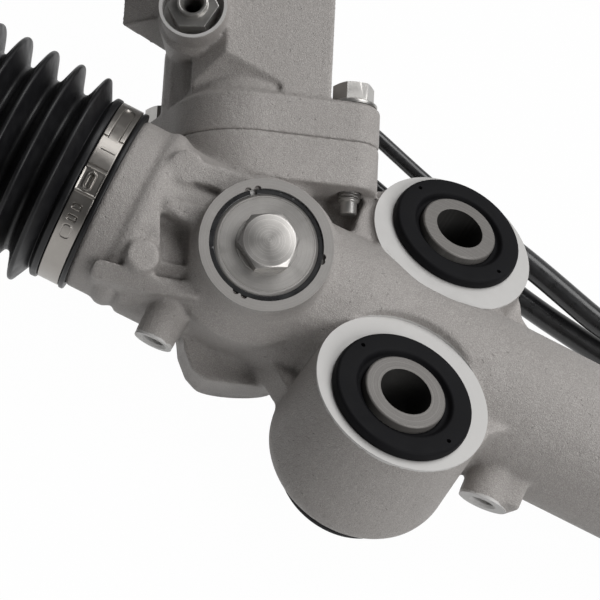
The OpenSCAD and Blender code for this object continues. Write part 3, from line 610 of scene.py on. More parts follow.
# Near black inside of the bush sleeves: painted shade in their deep bores.
BORE_SHADE = Finish("steel bore with painted shade", "bush_steel", (0.03, 0.029, 0.028), (0.05, 0.048, 0.046),
                    Grain.TURNED, metal=0.2, rough=0.5, uneven=0.06, relief=0.006, grain_mm=0.55,
                    edge=0.1, gloss=0.25)
BLACK_STEEL = Finish("black coated steel", "black_steel", (0.012, 0.012, 0.013),
                     (0.035, 0.035, 0.037), Grain.PLATED, rough=0.3, uneven=0.06, relief=0.008,
                     grain_mm=0.5, edge=0.25, coat=0.1)
FORGED = Finish("forged steel", "forged_steel", (0.16, 0.155, 0.15), (0.26, 0.25, 0.24),
                Grain.FORGED, metal=0.75, rough=0.46, uneven=0.08, relief=0.035, grain_mm=0.5,
                edge=0.5)
RUBBER = Finish("black rubber", "black_rubber", (0.008, 0.008, 0.009), (0.02, 0.02, 0.021),
                Grain.MOULDED, rough=0.42, uneven=0.06, relief=0.012, grain_mm=0.7, edge=0.18,
                gloss=0.3)
BUSH_RUBBER = Finish("matt black rubber", "black_rubber", (0.0075, 0.0075, 0.0085),
                     (0.016, 0.016, 0.018), Grain.MOULDED, rough=0.6, uneven=0.06, relief=0.01,
                     grain_mm=0.5, edge=0.25, gloss=0.08)
SEAT_PLASTIC = Finish("bearing plastic", "seat_plastic", (0.5, 0.47, 0.41), (0.6, 0.57, 0.5),
                      Grain.MOULDED, rough=0.45, uneven=0.06, relief=0.01, grain_mm=0.5, edge=0.2)


def new_object(name: str, mesh: bpy.types.Mesh) -> bpy.types.Object:
    """Puts a mesh into the scene.

    Args:
        name: Name of the new object.
        mesh: Its mesh.

    Returns:
        The object.
    """
    piece = bpy.data.objects.new(name, mesh)
    bpy.context.scene.collection.objects.link(piece)
    return piece


def mesh_from(name: str, points: Iterable[Vector],
              faces: Sequence[Sequence[int]]) -> bpy.types.Object:
    """Makes an object with welded points and outward faces.

    Args:
        name: Name of the object.
        points: Its points, in metres.
        faces: Its faces, as lists of point numbers.

    Returns:
        The object.
    """
    mesh = bpy.data.meshes.new(name)
    mesh.from_pydata([tuple(point) for point in points], [], [tuple(face) for face in faces])
    work = bmesh.new()
    work.from_mesh(mesh)
    bmesh.ops.remove_doubles(work, verts=work.verts, dist=1e-7)
    bmesh.ops.dissolve_degenerate(work, edges=work.edges, dist=1e-8)
    bmesh.ops.recalc_face_normals(work, faces=work.faces)
    work.to_mesh(mesh)
    work.free()
    return new_object(name, mesh)


def set_material(piece: bpy.types.Object, index: int) -> None:
    """Gives all faces of a piece the material at this place in its list."""
    faces = piece.data.polygons
    faces.foreach_set("material_index", [index] * len(faces))


def smooth(piece: bpy.types.Object, angle: float = 35.0) -> None:
    """Shades a piece smoothly, with its sharper edges kept.

    Args:
        piece: The piece.
        angle: Angle in degrees above which an edge stays sharp.
    """
    mesh = piece.data
    mesh.polygons.foreach_set("use_smooth", [True] * len(mesh.polygons))
    mesh.set_sharp_from_angle(angle=math.radians(angle))


def rounded(corners: Sequence[Pair], radius: float, steps: int = 4,
            closed: bool = False) -> list[Pair]:
    """Rounds the corners of a profile.

    Args:
        corners: Corners of the profile, as radius and height.
        radius: Largest rounding radius; a short side takes a smaller one.
        steps: Pieces of each rounded corner.
        closed: True if the last corner joins the first.

    Returns:
        The points of the rounded profile.
    """
    count = len(corners)
    points: list[Pair] = []
    for index, corner in enumerate(corners):
        if not closed and index in (0, count - 1):
            points.append(corner)
            continue
        here = Vector(corner)
        before = Vector(corners[index - 1]) - here
        after = Vector(corners[(index + 1) % count]) - here
        reach = min(radius, before.length * 0.45, after.length * 0.45)
        first = here + before.normalized() * reach
        last = here + after.normalized() * reach
        for step in range(steps + 1):
            t = step / steps
            point = first * (1 - t) ** 2 + here * 2 * t * (1 - t) + last * t ** 2
            points.append((point.x, point.y))
    return points


def lathe(name: str, profile: Sequence[Pair], frame: Matrix, steps: int = 96) -> bpy.types.Object:
    """Turns a closed profile about a frame's Z axis.

    Args:
        name: Name of the object.
        profile: Its corners as radius and height, in millimetres.
        frame: The frame, in metres.
        steps: Flats round the turn.

    Returns:
        The closed solid.
    """
    count = len(profile)
    points = []
    for step in range(steps):
        angle = 2 * math.pi * step / steps
        across = Vector((math.cos(angle), math.sin(angle), 0))
        points += [frame @ ((across * radius + Vector((0, 0, height))) * MM)
                   for radius, height in profile]
    faces = []
    for step in range(steps):
        now, then = step * count, (step + 1) % steps * count
        for index in range(count):
            after = (index + 1) % count
            if profile[index][0] < 1e-6 and profile[after][0] < 1e-6:
                continue
            faces.append((now + index, then + index, then + after, now + after))
    return mesh_from(name, points, faces)


def leave_angle(a: Triple, b: Triple) -> float:
    """Angle of the outward normal where the outer tangent leaves one circle for another.

    Args:
        a: Centre and radius of the circle that it leaves.
        b: Centre and radius of the other circle.

    Returns:
        The angle in radians.
    """
    along = Vector((b[0] - a[0], b[1] - a[1]))
    return math.atan2(along.y, along.x) - math.acos((a[2] - b[2]) / along.length)


def round_outline(circles: Sequence[Triple]) -> list[Pair]:
    """Outline round a ring of circles.

    Args:
        circles: Centre and radius of each, in the order that runs to the left round them.

    Returns:
        Points of the outline.
    """
    count = len(circles)
    points: list[Pair] = []
    for index, circle in enumerate(circles):
        x, y, radius = circle
        start = leave_angle(circles[index - 1], circle)
        span = (leave_angle(circle, circles[(index + 1) % count]) - start) % (2 * math.pi)
        steps = max(2, math.ceil(math.degrees(span) / 6))
        for step in range(steps + 1):
            angle = start + span * step / steps
            points.append((x + radius * math.cos(angle), y + radius * math.sin(angle)))
    return points


def slab(name: str, outline: Sequence[Pair], low: float, high: float,
         frame: Matrix) -> bpy.types.Object:
    """Flat plate of a given outline.

    Args:
        name: Name of the object.
        outline: Its corners in the frame's X and Y, in millimetres.
        low: Height of its lower face.
        high: Height of its upper face.
        frame: The frame, in metres.

    Returns:
        The closed plate.
    """
    count = len(outline)
    points = [frame @ mm(x, y, height) for height in (low, high) for x, y in outline]
    faces: list[Sequence[int]] = [tuple(reversed(range(count))), tuple(range(count, 2 * count))]
    faces += [(i, (i + 1) % count, count + (i + 1) % count, count + i) for i in range(count)]
    return mesh_from(name, points, faces)


def solid_between(name: str, rings: Sequence[Sequence[Triple]], frame: Matrix) -> bpy.types.Object:
    """Solid whose skin runs through closed rings of the same number of points.

    Args:
        name: Name of the object.
        rings: The rings from the lowest to the highest, in millimetres.
        frame: The frame, in metres.

    Returns:
        The closed solid.
    """
    count, last = len(rings[0]), len(rings) - 1
    points = [frame @ mm(*point) for ring in rings for point in ring]
    faces: list[Sequence[int]] = [tuple(reversed(range(count))),
                                  tuple(range(last * count, (last + 1) * count))]
    for low in range(0, last * count, count):
        high = low + count
        faces += [(low + i, low + (i + 1) % count, high + (i + 1) % count, high + i)
                  for i in range(count)]
    return mesh_from(name, points, faces)


@dataclass(frozen=True)
class Cut:
    """A machined feature of a casting: a turned or flat tool in its own frame.

    Attributes:
        frame: Frame of the feature.
        low: Height of its start, in millimetres.
        high: Height of its end.
        radius: Radius of a round feature.
        top_radius: Radius at its end, where it tapers.
        outline: Flat outline of a feature that isn't round.
        skin: Surface that it leaves.
    """

    frame: Matrix
    low: float
    high: float
    radius: float = 0.0
    top_radius: float | None = None
    outline: tuple[Pair, ...] = ()
    skin: Skin = Skin.MILLED

    def tool(self) -> bpy.types.Object:
        """Builds the feature as a closed solid.

        Returns:
            The solid, with the surface that it leaves.
        """
        if self.outline:
            piece = slab("tool", self.outline, self.low, self.high, self.frame)
        else:
            top = self.radius if self.top_radius is None else self.top_radius
            profile = [(0.0, self.low), (self.radius, self.low), (top, self.high), (0.0, self.high)]
            piece = lathe("tool", profile, self.frame, TOOL_STEPS)
        set_material(piece, self.skin.value)
        return piece


def apart(piece: bpy.types.Object, other: bpy.types.Object) -> bool:
    """Tells whether the boxes round two pieces keep clear of each other.

    Args:
        piece: One piece.
        other: The other one.

    Returns:
        True where they do.
    """
    boxes = []
    for each in (piece, other):
        points = [vertex.co for vertex in each.data.vertices]
        boxes.append([(min(p[i] for p in points), max(p[i] for p in points)) for i in range(3)])
    return any(a[1] < b[0] or b[1] < a[0] for a, b in zip(*boxes))


def joined(pieces: Sequence[bpy.types.Object]) -> bpy.types.Object:
    """Joins pieces into one.

    Args:
        pieces: The pieces.

    Returns:
        The first of them, which now holds them all.
    """
    work = bmesh.new()
    for piece in pieces:
        work.from_mesh(piece.data)
    work.to_mesh(pieces[0].data)
    work.free()
    for piece in pieces[1:]:
        bpy.data.objects.remove(piece)
    return pieces[0]


def bake(piece: bpy.types.Object) -> None:
    """Turns a piece's modifiers into its mesh.

    Args:
        piece: The piece.
    """
    graph = bpy.context.evaluated_depsgraph_get()
    mesh = bpy.data.meshes.new_from_object(piece.evaluated_get(graph))
    piece.modifiers.clear()
    piece.data = mesh


def machine(piece: bpy.types.Object, tool: bpy.types.Object, work: Machining) -> None:
    """Works a piece with a tool's shape and takes the tool away.

    Args:
        piece: The piece that changes.
        tool: The closed shape.
        work: What the tool does.
    """
    for material in piece.data.materials:
        tool.data.materials.append(material)
    change = piece.modifiers.new("machining", "BOOLEAN")
    change.operation = work.value
    change.solver = "MANIFOLD"
    change.object = tool
    bake(piece)
    bpy.data.objects.remove(tool)


@dataclass
class Casting:
    """A sand casting with soft edges and crisp machined faces.

    Attributes:
        node: The solid that it is made from and stands for.
        name: Name of the piece.
        voxel: Size of its surface net, in millimetres.
        softening: Rounds of smoothing, which set how soft its edges are.
        lands: Machined faces that stand on it.
        bores: Holes and recesses that are cut in it.
        frame: Frame that the milling marks follow.
        swells: Closed shapes that are added before it is softened.
    """

    node: str
    name: str
    voxel: float
    softening: int
    lands: list[Cut] = field(default_factory=list)
    bores: list[Cut] = field(default_factory=list)
    frame: Matrix = field(default_factory=Matrix)
    swells: list[bpy.types.Object] = field(default_factory=list)

    def net(self, piece: bpy.types.Object) -> None:
        """Gives a piece an even surface net round all that it holds.

        Args:
            piece: The piece.
        """
        remesh = piece.modifiers.new("net", "REMESH")
        remesh.mode = "VOXEL"
        remesh.voxel_size = self.voxel * MM

    def soften(self, node: bpy.types.Object) -> bpy.types.Object:
        """Copies the solid with rounded edges.

        Args:
            node: The solid of the frame.

        Returns:
            The copy.
        """
        piece = new_object(self.name, node.data.copy())
        if self.swells:
            piece = joined([piece, *self.swells])
        self.net(piece)
        relax = piece.modifiers.new("soft edges", "SMOOTH")
        relax.factor = 0.5
        relax.iterations = self.softening
        bake(piece)
        piece.data.materials.clear()
        piece.data.materials.append(CAST.material())
        piece.data.materials.append(MACHINED.material(self.frame))
        piece.data.materials.append(FACED.material(yoke_frame()))
        set_material(piece, Skin.CAST.value)
        return piece

    def work_over(self, piece: bpy.types.Object, cuts: Sequence[Cut], work: Machining) -> None:
        """Adds or cuts machined features, as many at once as keep clear of each other.

        Args:
            piece: The softened casting.
            cuts: The features.
            work: Whether they are added or cut.
        """
        passes: list[list[bpy.types.Object]] = []
        for cut in cuts:
            tool = cut.tool()
            free = [batch for batch in passes if all(apart(tool, other) for other in batch)]
            if free:
                free[0].append(tool)
            else:
                passes.append([tool])
        for batch in passes:
            machine(piece, joined(batch), work)

    def build(self, nodes: dict[str, bpy.types.Object]) -> bpy.types.Object:
        """Makes the casting.

        Args:
            nodes: The solids of the frame.

        Returns:
            The finished piece, riding on the housing.
        """
        piece = self.soften(nodes[self.node])
        self.work_over(piece, self.lands, Machining.ADD)
        self.work_over(piece, self.bores, Machining.CUT)
        smooth(piece, 38)
        return settle(piece, "housing", CAST, self.node)


def settle(piece: bpy.types.Object, body: str, finish: Finish, *nodes: str) -> bpy.types.Object:
    """Lets a piece ride on a body and stand for solids of the frame.

    Args:
        piece: The piece, in place.
        body: The body it moves with.
        finish: Not used.
        *nodes: The solids that it stands for.

    Returns:
        The piece.
    """
    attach(piece, body)
    if nodes:
        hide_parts(*nodes)
    LOG.info("%s: %d faces on %s", piece.name, len(piece.data.polygons), body)
    return piece


def dress(nodes: dict[str, bpy.types.Object], name: str, finish: Finish,
          frame: Matrix | None = None, bevel: float = 0.0, thread: Triple | None = None) -> None:
    """Gives a solid of the frame its finish and softens its edges.

    Args:
        nodes: The solids of the frame.
        name: Name of the solid.
        finish: Its finish.
        frame: Frame that the grain follows.
        bevel: Width of the rounding on its edges, in millimetres.
        thread: Start, end and pitch of a thread along the frame's Z.
    """
    node = nodes[name]
    node.data.materials.clear()
    node.data.materials.append(finish.material(frame, thread))
    set_material(node, 0)
    if bevel:
        weld = node.modifiers.new("weld", "WELD")
        weld.merge_threshold = 1e-6
        edge = node.modifiers.new("edges", "BEVEL")
        edge.width = bevel * MM
        edge.segments = 2
        edge.limit_method = "ANGLE"
        edge.angle_limit = math.radians(28)
        edge.harden_normals = False
    LOG.info("%s: %s", name, finish.name)


@dataclass
class Housing:
    """The two castings of the gear with what is screwed into them.

    Attributes:
        bushes: Places of the bushes in the plan.
        boss_y: Distance of each bush boss's own centre from the rack axis.
        boss_r: Radius of a bush boss at its top.
        boss_h: Height of the boss faces.
        bush_r: Radius of the bush bore.
        joint: Height of the joint of the two castings.
        flange: Thickness of the upper flange.
        neck_r: Radius of both flanges round the pinion.
        ear_r: Radius of the flanges round each screw.
        tower: Height of the top of the tower.
        end_face_r: Radius of the faced ends.
        end_bore_r: Radius of their bores.
        end_bores: Depth of the bore at each end.
        yoke_face: Height of the faced ring round the yoke's plug.
        yoke_face_r: Radius of that ring.
        yoke_bore: Start, end and radius of each step of the yoke's bore.
        pinion_bore: Start, end and radius of each step of the pinion's bore.
        valve_bore: Start, end and radius of each step of the valve's bore.
        hole_r: Radius of the threaded bracket holes.
        mouth_r: Radius of their mouths.
        port_face: Distance of a line port's face from the rack axis.
        port_face_r: Radius of that face.
        port_r: Radius of the threads that hold a line's nut.
        inlet: Middle of the inlet boss's face, in the pinion's frame.
        inlet_turn: Turn of the inlet boss, in degrees.
        inlet_face_r: Radius of its face.
        inlet_bore: Start, end and radius of each step of its bore.
        block_turn: Turn of the block with the return port, in degrees.
        outlet: Place of the return port in that block.
        outlet_r: Radius of its bore.
        screws: Places of the flange screws.
        screw_r: Radius of their threads in the main casting.
        clear_r: Radius of the holes in the upper flange.
        seat_r: Radius of the seats of their heads.
        pinion_bracket: The bracket boss by the pinion: place along the rack, height along the
            yoke's axis and distance of its face.
        tube_bracket: The bracket boss on the tube, given the same way.
        punched: Angles of the punch marks that lock the yoke's ring.
        punch_r: Distance of the punch marks from the yoke's axis.
        mark_r: Radius of a punch mark.
    """

    bushes: tuple[Pair, ...] = BUSH_PLACES
    boss_y: float = 40.7
    boss_r: float = 32.3
    boss_h: float = 24.0
    bush_r: float = 20.0
    joint: float = 52.0
    flange: float = 16.0
    neck_r: float = 30.4
    ear_r: Pair = (10.5, 11.0)
    tower: float = 122.0
    end_face_r: float = 31.5
    end_bore_r: float = 27.0
    end_bores: Pair = (17.0, 15.0)
    yoke_face: float = 41.8
    yoke_face_r: float = 23.75
    yoke_bore: tuple[Triple, ...] = ((0.0, 42.0, 17.1), (31.0, 42.0, 18.35), (39.6, 43.0, 20.2))
    pinion_bore: tuple[Triple, ...] = ((50.2, 53.0, 22.6), (21.0, 53.0, 18.5))
    valve_bore: tuple[Triple, ...] = ((51.0, 106.0, 20.0), (100.0, 130.0, 15.0),
                                      (116.0, 132.0, 17.0))
    hole_r: float = 4.2
    mouth_r: float = 5.3
    port_face: float = 39.0
    port_face_r: float = 10.3
    port_r: float = 6.0
    inlet: Triple = (-28.1, -31.2, 97.2)
    inlet_turn: float = -13.0
    inlet_face_r: float = 12.75
    inlet_bore: tuple[Triple, ...] = ((-14.0, 1.0, 7.0), (-7.0, 1.0, 11.6))
    block_turn: float = -42.0
    outlet: Pair = (-24.0, -14.0)
    outlet_r: float = 7.0
    screws: tuple[Pair, ...] = ((37.0, -19.0), (-29.5, 31.0))
    screw_r: float = 4.0
    clear_r: float = 4.3
    seat_r: float = 9.8
    pinion_bracket: Triple = (-84.4, 14.0, 42.5)
    tube_bracket: Triple = (49.0, 4.5, 39.0)
    punched: tuple[float, ...] = (10.0, 14.5, 124.0, 134.0, -97.0, -88.0)
    punch_r: float = 20.0
    mark_r: float = 1.25

    def joint_outline(self, inset: float) -> tuple[Pair, ...]:
        """Outline of the flange joint.

        Args:
            inset: Distance by which it is drawn in.

        Returns:
            Its points.
        """
        circles: list[Triple] = []
        for (x, y), radius in zip(self.screws, self.ear_r):
            circles += [(x, y, radius - inset), (0.0, 0.0, self.neck_r - inset)]
        return tuple(round_outline(circles))

    def bracket(self, x: float, n: float, out: float) -> Matrix:
        """Frame of a bracket boss with Z into its hole, from its face."""
        return offset_frame(yoke_frame(), x + PINION_X, -out, n, (-90, 0, 0))

    def line_port(self, x: float, turn: float) -> Matrix:
        """Frame of a line's port on the cylinder, with Z out of it."""
        return Matrix.Translation(mm(x, 0, 0)) @ Matrix.Rotation(math.radians(turn - 90), 4, "X")

    def bracket_hole(self, place: Triple, depth: float) -> list[Cut]:
        """Threaded hole of a bracket boss with its chamfered mouth."""
        boss = self.bracket(*place)
        return [Cut(boss, -1, depth, self.hole_r), Cut(boss, -0.2, 1, self.mouth_r, self.hole_r)]

    def main_casting(self) -> Casting:
        """Describes the main casting with its machined faces.

        Returns:
            The casting, ready to build.
        """
        yoke, pinion = yoke_frame(), pinion_frame()
        left, right = (rack_frame(end.x, end.value) for end in End)
        joint = self.joint
        lands = [Cut(yoke, 38.5, self.yoke_face, self.yoke_face_r, skin=Skin.RING),
                 Cut(left, -3, 0, self.end_face_r), Cut(right, -3, 0, self.end_face_r),
                 Cut(pinion, joint - 3.5, joint, outline=self.joint_outline(0.9), skin=Skin.CAST),
                 Cut(self.bracket(*self.pinion_bracket), 0, 2.5, 7.1),
                 Cut(self.bracket(*self.tube_bracket), 0, 2.5, 9.2)]
        bores = [*(Cut(mouth, -depth, 1, self.end_bore_r)
                   for mouth, depth in zip((left, right), self.end_bores)),
                 *(Cut(yoke, *step) for step in self.yoke_bore),
                 *(Cut(pinion, *step) for step in self.pinion_bore),
                 *self.bracket_hole(self.pinion_bracket, 14),
                 *self.bracket_hole(self.tube_bracket, 13)]
        for x, y in self.bushes:
            boss, bush = bush_frame(x, math.copysign(self.boss_y, y)), bush_frame(x, y)
            face = self.boss_h + 0.04
            lands += [Cut(boss, face - 3, face, self.boss_r - 0.1),
                      Cut(boss, -face, 3 - face, self.boss_r - 3.4)]
            bores += [Cut(boss, face, face + 21, self.boss_r - 0.1),
                      Cut(boss, -face - 21, -face, self.boss_r),
                      Cut(bush, -face - 1, face + 1, self.bush_r)]
        for place in (NEAR_PORT, FAR_PORT):
            port, top = self.line_port(*place), self.port_face
            lands.append(Cut(port, top - 3, top, self.port_face_r))
            bores.append(Cut(port, top - 8, top + 1, self.port_r))
        for x, y in self.screws:
            bores.append(Cut(offset_frame(pinion, x, y, 0), 24, joint + 1, self.screw_r))
        for angle in map(math.radians, self.punched):
            x, y = self.punch_r * math.cos(angle), self.punch_r * math.sin(angle)
            spot = offset_frame(yoke, x, y, 0)
            bores.append(Cut(spot, 40.2, 43, self.mark_r, skin=Skin.CAST))
        return Casting("rack_housing", "main_casting", voxel=0.85, softening=9, lands=lands,
                       bores=bores, frame=bush_frame(0, -40))

    def column(self) -> bpy.types.Object:
        """Rounded left side of the tower's column, which swells a little at its foot.

        Returns:
            The closed solid.
        """
        plan = [(20, -14), (0, -17), (-14, -15.4), (-20.7, -11.6), (-27, -5.4), (-31.4, 0.2),
                (-33.3, 5), (-33.4, 10), (-31.6, 15.5), (-27, 19.5), (-16, 22), (20, 20)]
        levels = ((56.0, 0.3), (66.5, 0.28), (68.6, 0.2), (70.4, 0.12), (73.0, 0.05), (77.0, 0.01),
                  (93.0, 0.0))
        rings = [[(x, y * (1 + flare) if y < 0 else y, z) for x, y in reversed(plan)]
                 for z, flare in levels]
        return solid_between("column", rings, pinion_frame())

    def tower_casting(self) -> Casting:
        """Describes the valve tower with its machined faces.

        Returns:
            The casting, ready to build.
        """
        pinion = pinion_frame()
        inlet = offset_frame(pinion, *self.inlet, (0, 0, self.inlet_turn))
        inlet = inlet @ Matrix.Rotation(math.radians(90), 4, "X")
        joint, top = self.joint, self.joint + self.flange
        lands = [Cut(pinion, joint, joint + 3, outline=self.joint_outline(0.9), skin=Skin.CAST),
                 Cut(inlet, -3, 0, self.inlet_face_r)]
        bores = [*(Cut(pinion, *step) for step in self.valve_bore),
                 *(Cut(inlet, *step) for step in self.inlet_bore)]
        for x, y in self.screws:
            seat = offset_frame(pinion, x, y, 0)
            bores += [Cut(seat, top, top + 50, self.seat_r),
                      Cut(seat, joint - 1, top + 1, self.clear_r)]
        for y, z in (FAR_UNION, NEAR_UNION):
            bores.append(Cut(offset_frame(pinion, 0, y, z, (0, 90, 0)), 25, 36, self.port_r))
        block = offset_frame(pinion, 0, 0, 0, (0, 0, self.block_turn))
        outlet = offset_frame(block, *self.outlet, self.tower)
        bores.append(Cut(outlet, -14, 2, self.outlet_r))
        return Casting("valve_housing", "valve_tower", voxel=0.7, softening=5, lands=lands,
                       bores=bores, frame=inlet, swells=[self.column()])

    def build(self, nodes: dict[str, bpy.types.Object]) -> None:
        """Makes both castings and dresses what is screwed and pressed into them.

        Args:
            nodes: The solids of the frame.
        """
        self.main_casting().build(nodes)
        self.tower_casting().build(nodes)
        pinion = pinion_frame()
        screw = offset_frame(pinion, *self.screws[0], 0)
        thread = (31, self.joint - 0.5, 1.25)
        dress(nodes, "valve_housing_bolts", PLATED, screw, bevel=0.35, thread=thread)
        dress(nodes, "inlet_fitting", PLATED, pinion, bevel=0.25)
        dress(nodes, "return_fitting", PLATED, pinion, bevel=0.3)
        for name in ("joint_seal", "shaft_dust_seal", "pinion_seal", "inner_rack_seal",
                     "outer_rack_seal"):
            dress(nodes, name, RUBBER, pinion)
        for name in ("valve_top_bearing", "pinion_top_bearing", "pinion_low_bearing"):
            dress(nodes, name, GROUND, pinion)
        dress(nodes, "bearing_ring", BLACK_STEEL, pinion)
        for name in ("cylinder_liner", "rod_bushing"):
            dress(nodes, name, GROUND, rack_frame(0))
        for name in ("left_stop_ring", "right_stop_ring"):
            dress(nodes, name, FORGED, rack_frame(0))


@dataclass
class YokeSet:
    """The yoke under its screwed plug, with the lock ring round the plug.

    Attributes:
        plug_r: Radius of the plug.
        foot: Height of the plug's lower face above the rack axis.
        face: Height of its upper face.
        collar: Radius of the low collar round the hexagon.
        flats: Width of the hexagon across its flats.
        top: Height of the hexagon's turned top.
        crown: Radius of that top, from where the corners slope down.
    """

    plug_r: float = 18.3
    foot: float = 31.4
    face: float = 41.8
    collar: float = 10.9
    flats: float = 19.0
    top: float = 47.2
    crown: float = 9.25

    def plug(self) -> bpy.types.Object:
        """Turns the plug and mills its hexagon.

        Returns:
            The closed plug, without a body yet.
        """
        frame = yoke_frame()
        rim = self.plug_r
        face = self.face
        profile = [(0.0, self.foot + 3.6), (9.0, self.foot + 3.6), (9.0, self.foot),
                   (rim - 0.8, self.foot), (rim, self.foot + 0.8), (rim, face - 0.95),
                   (rim - 0.12, face - 0.8), (rim - 0.95, face), (rim - 1.35, face),
                   (rim - 1.45, face - 0.14), (rim - 1.65, face - 0.14), (rim - 1.75, face),
                   (self.collar, face), (self.collar, face + 0.4), (self.collar - 0.12, face + 0.5),
                   (0.0, face + 0.5)]
        finishes = (TURNED, PLATED, SPUN)
        body = lathe("screwed_yoke_plug", profile, frame, FINE_STEPS)
        for finish in finishes:
            body.data.materials.append(finish.material(frame))
        reach = self.crown + (self.top - face) / math.tan(math.radians(30))
        cone = [(0.0, face), (reach, face), (self.crown, self.top - 0.03),
                (self.crown - 0.1, self.top), (0.0, self.top)]
        crown = lathe("hexagon", cone, frame, FINE_STEPS)
        for material in body.data.materials:
            crown.data.materials.append(material)
        set_material(crown, finishes.index(SPUN))
        corner = self.flats / 2 / math.cos(math.radians(30))
        turns = [math.radians(30 + 60 * k) for k in range(6)]
        outline = [(corner * math.cos(turn), corner * math.sin(turn)) for turn in turns]
        prism = slab("tool", outline, face - 0.5, self.top + 1, frame)
        set_material(prism, finishes.index(PLATED))
        machine(crown, prism, Machining.KEEP)
        machine(body, crown, Machining.ADD)
        smooth(body, 25)
        return body

    def build(self, nodes: dict[str, bpy.types.Object]) -> None:
        """Makes the plug and dresses the other pieces on the yoke's axis.

        Args:
            nodes: The solids of the frame.
        """
        yoke = yoke_frame()
        settle(self.plug(), "housing", TURNED, "yoke_plug")
        dress(nodes, "yoke_lock_ring", BLACK_STEEL, yoke, bevel=0.2)
        dress(nodes, "rack_yoke", TURNED, yoke)
        dress(nodes, "yoke_liner", SEAT_PLASTIC, yoke)
        dress(nodes, "yoke_spring", PLATED, yoke)


@dataclass
class MountingBushes:
    """Rubber bushes with steel sleeves, pressed into the three bosses from both sides.

    Attributes:
        places: Places of the bushes in the plan.
        sleeve_r: Outer radius of the steel sleeve.
        bore_r: Radius of the bolt hole in the sleeve.
        rubber_r: Radius of the rubber in the bore.
        flange_r: Radius of the rubber flange.
        seat: Height of the boss face.
        lip: Thickness of the flange.
        pin_marks: Angles of the small moulding holes in a flange.
        pin_r: Distance of the moulding holes from the bush's axis.
        pin_hole: Section of a moulding hole.
    """

    places: tuple[Pair, ...] = BUSH_PLACES
    sleeve_r: float = 15.0
    bore_r: float = 9.4
    rubber_r: float = 20.0
    flange_r: float = 25.6
    seat: float = 24.0
    lip: float = 3.9
    pin_marks: Pair = (150.0, -30.0)
    pin_r: float = 22.4
    pin_hole: tuple[Pair, ...] = ((0.0, 26.2), (0.8, 26.2), (0.9, 29.0), (0.0, 29.0))

    def profile(self) -> list[Pair]:
        """Section of one half rubber, with the groove round the sleeve.

        Returns:
            Its points as radius and height.
        """
        top = self.seat + self.lip
        flange = [(self.rubber_r, self.seat + 0.02), (self.flange_r, self.seat + 0.02),
                  (self.flange_r + 0.2, self.seat + 1.3), (self.flange_r - 0.3, top - 0.5),
                  (self.flange_r - 1.0, top), (18.0, top), (17.0, self.seat + 1.7),
                  (self.sleeve_r + 0.02, self.seat + 1.4)]
        bottom = [(self.sleeve_r + 0.02, 0.4), (self.rubber_r - 0.02, 0.4)]
        return rounded(flange + bottom, 0.7, 3, closed=True)

    def rubber(self, x: float, y: float, upper: bool) -> bpy.types.Object:
        """Half a rubber at one bush.

        Args:
            x: Place along the rack.
            y: Place across it.
            upper: True for the half above the middle.

        Returns:
            The piece, without a body yet.
        """
        frame = bush_frame(x, y)
        if not upper:
            frame = frame @ Matrix.Rotation(math.pi, 4, "X")
        half = "upper" if upper else "lower"
        name = f"bush_rubber_{half}_{round(x)}_{round(y)}"
        piece = lathe(name, self.profile(), frame, TOOL_STEPS)
        piece.data.materials.append(BUSH_RUBBER.material(frame))
        for turn in map(math.radians, self.pin_marks):
            hole = offset_frame(frame, self.pin_r * math.cos(turn), self.pin_r * math.sin(turn), 0)
            machine(piece, lathe("tool", self.pin_hole, hole, 16), Machining.CUT)
        smooth(piece, 40)
        return piece

    def build(self, nodes: dict[str, bpy.types.Object]) -> None:
        """Makes the rubbers and dresses the sleeves.

        Args:
            nodes: The solids of the frame.
        """
        for upper, node in ((True, "bush_rubbers_top"), (False, "bush_rubbers_bottom")):
            for x, y in self.places:
                settle(self.rubber(x, y, upper), "housing", BUSH_RUBBER, node)
        front = bush_frame(*self.places[1])
        dress(nodes, "bush_sleeves", SLEEVE_STEEL, front, bevel=0.25)
        # The bores are painted near black as shade.
        self.shade_bores(nodes["bush_sleeves"], front)

    def shade_bores(self, sleeves: bpy.types.Object, frame: Matrix) -> None:
        """Paints the inside of the sleeves near black, as painted shade in their deep bores.

        Args:
            sleeves: The dressed sleeves.
            frame: Frame of the sleeve that the tool marks run round.
        """
        sleeves.data.materials.append(BORE_SHADE.material(frame))
        for face in sleeves.data.polygons:
            centre = sleeves.matrix_world @ face.center / MM
            gap = min(math.hypot(centre.x - x, centre.y - y) for x, y in self.places)
            if gap < self.bore_r + 0.2 and abs(face.normal.z) < 0.3:
                face.material_index = 1


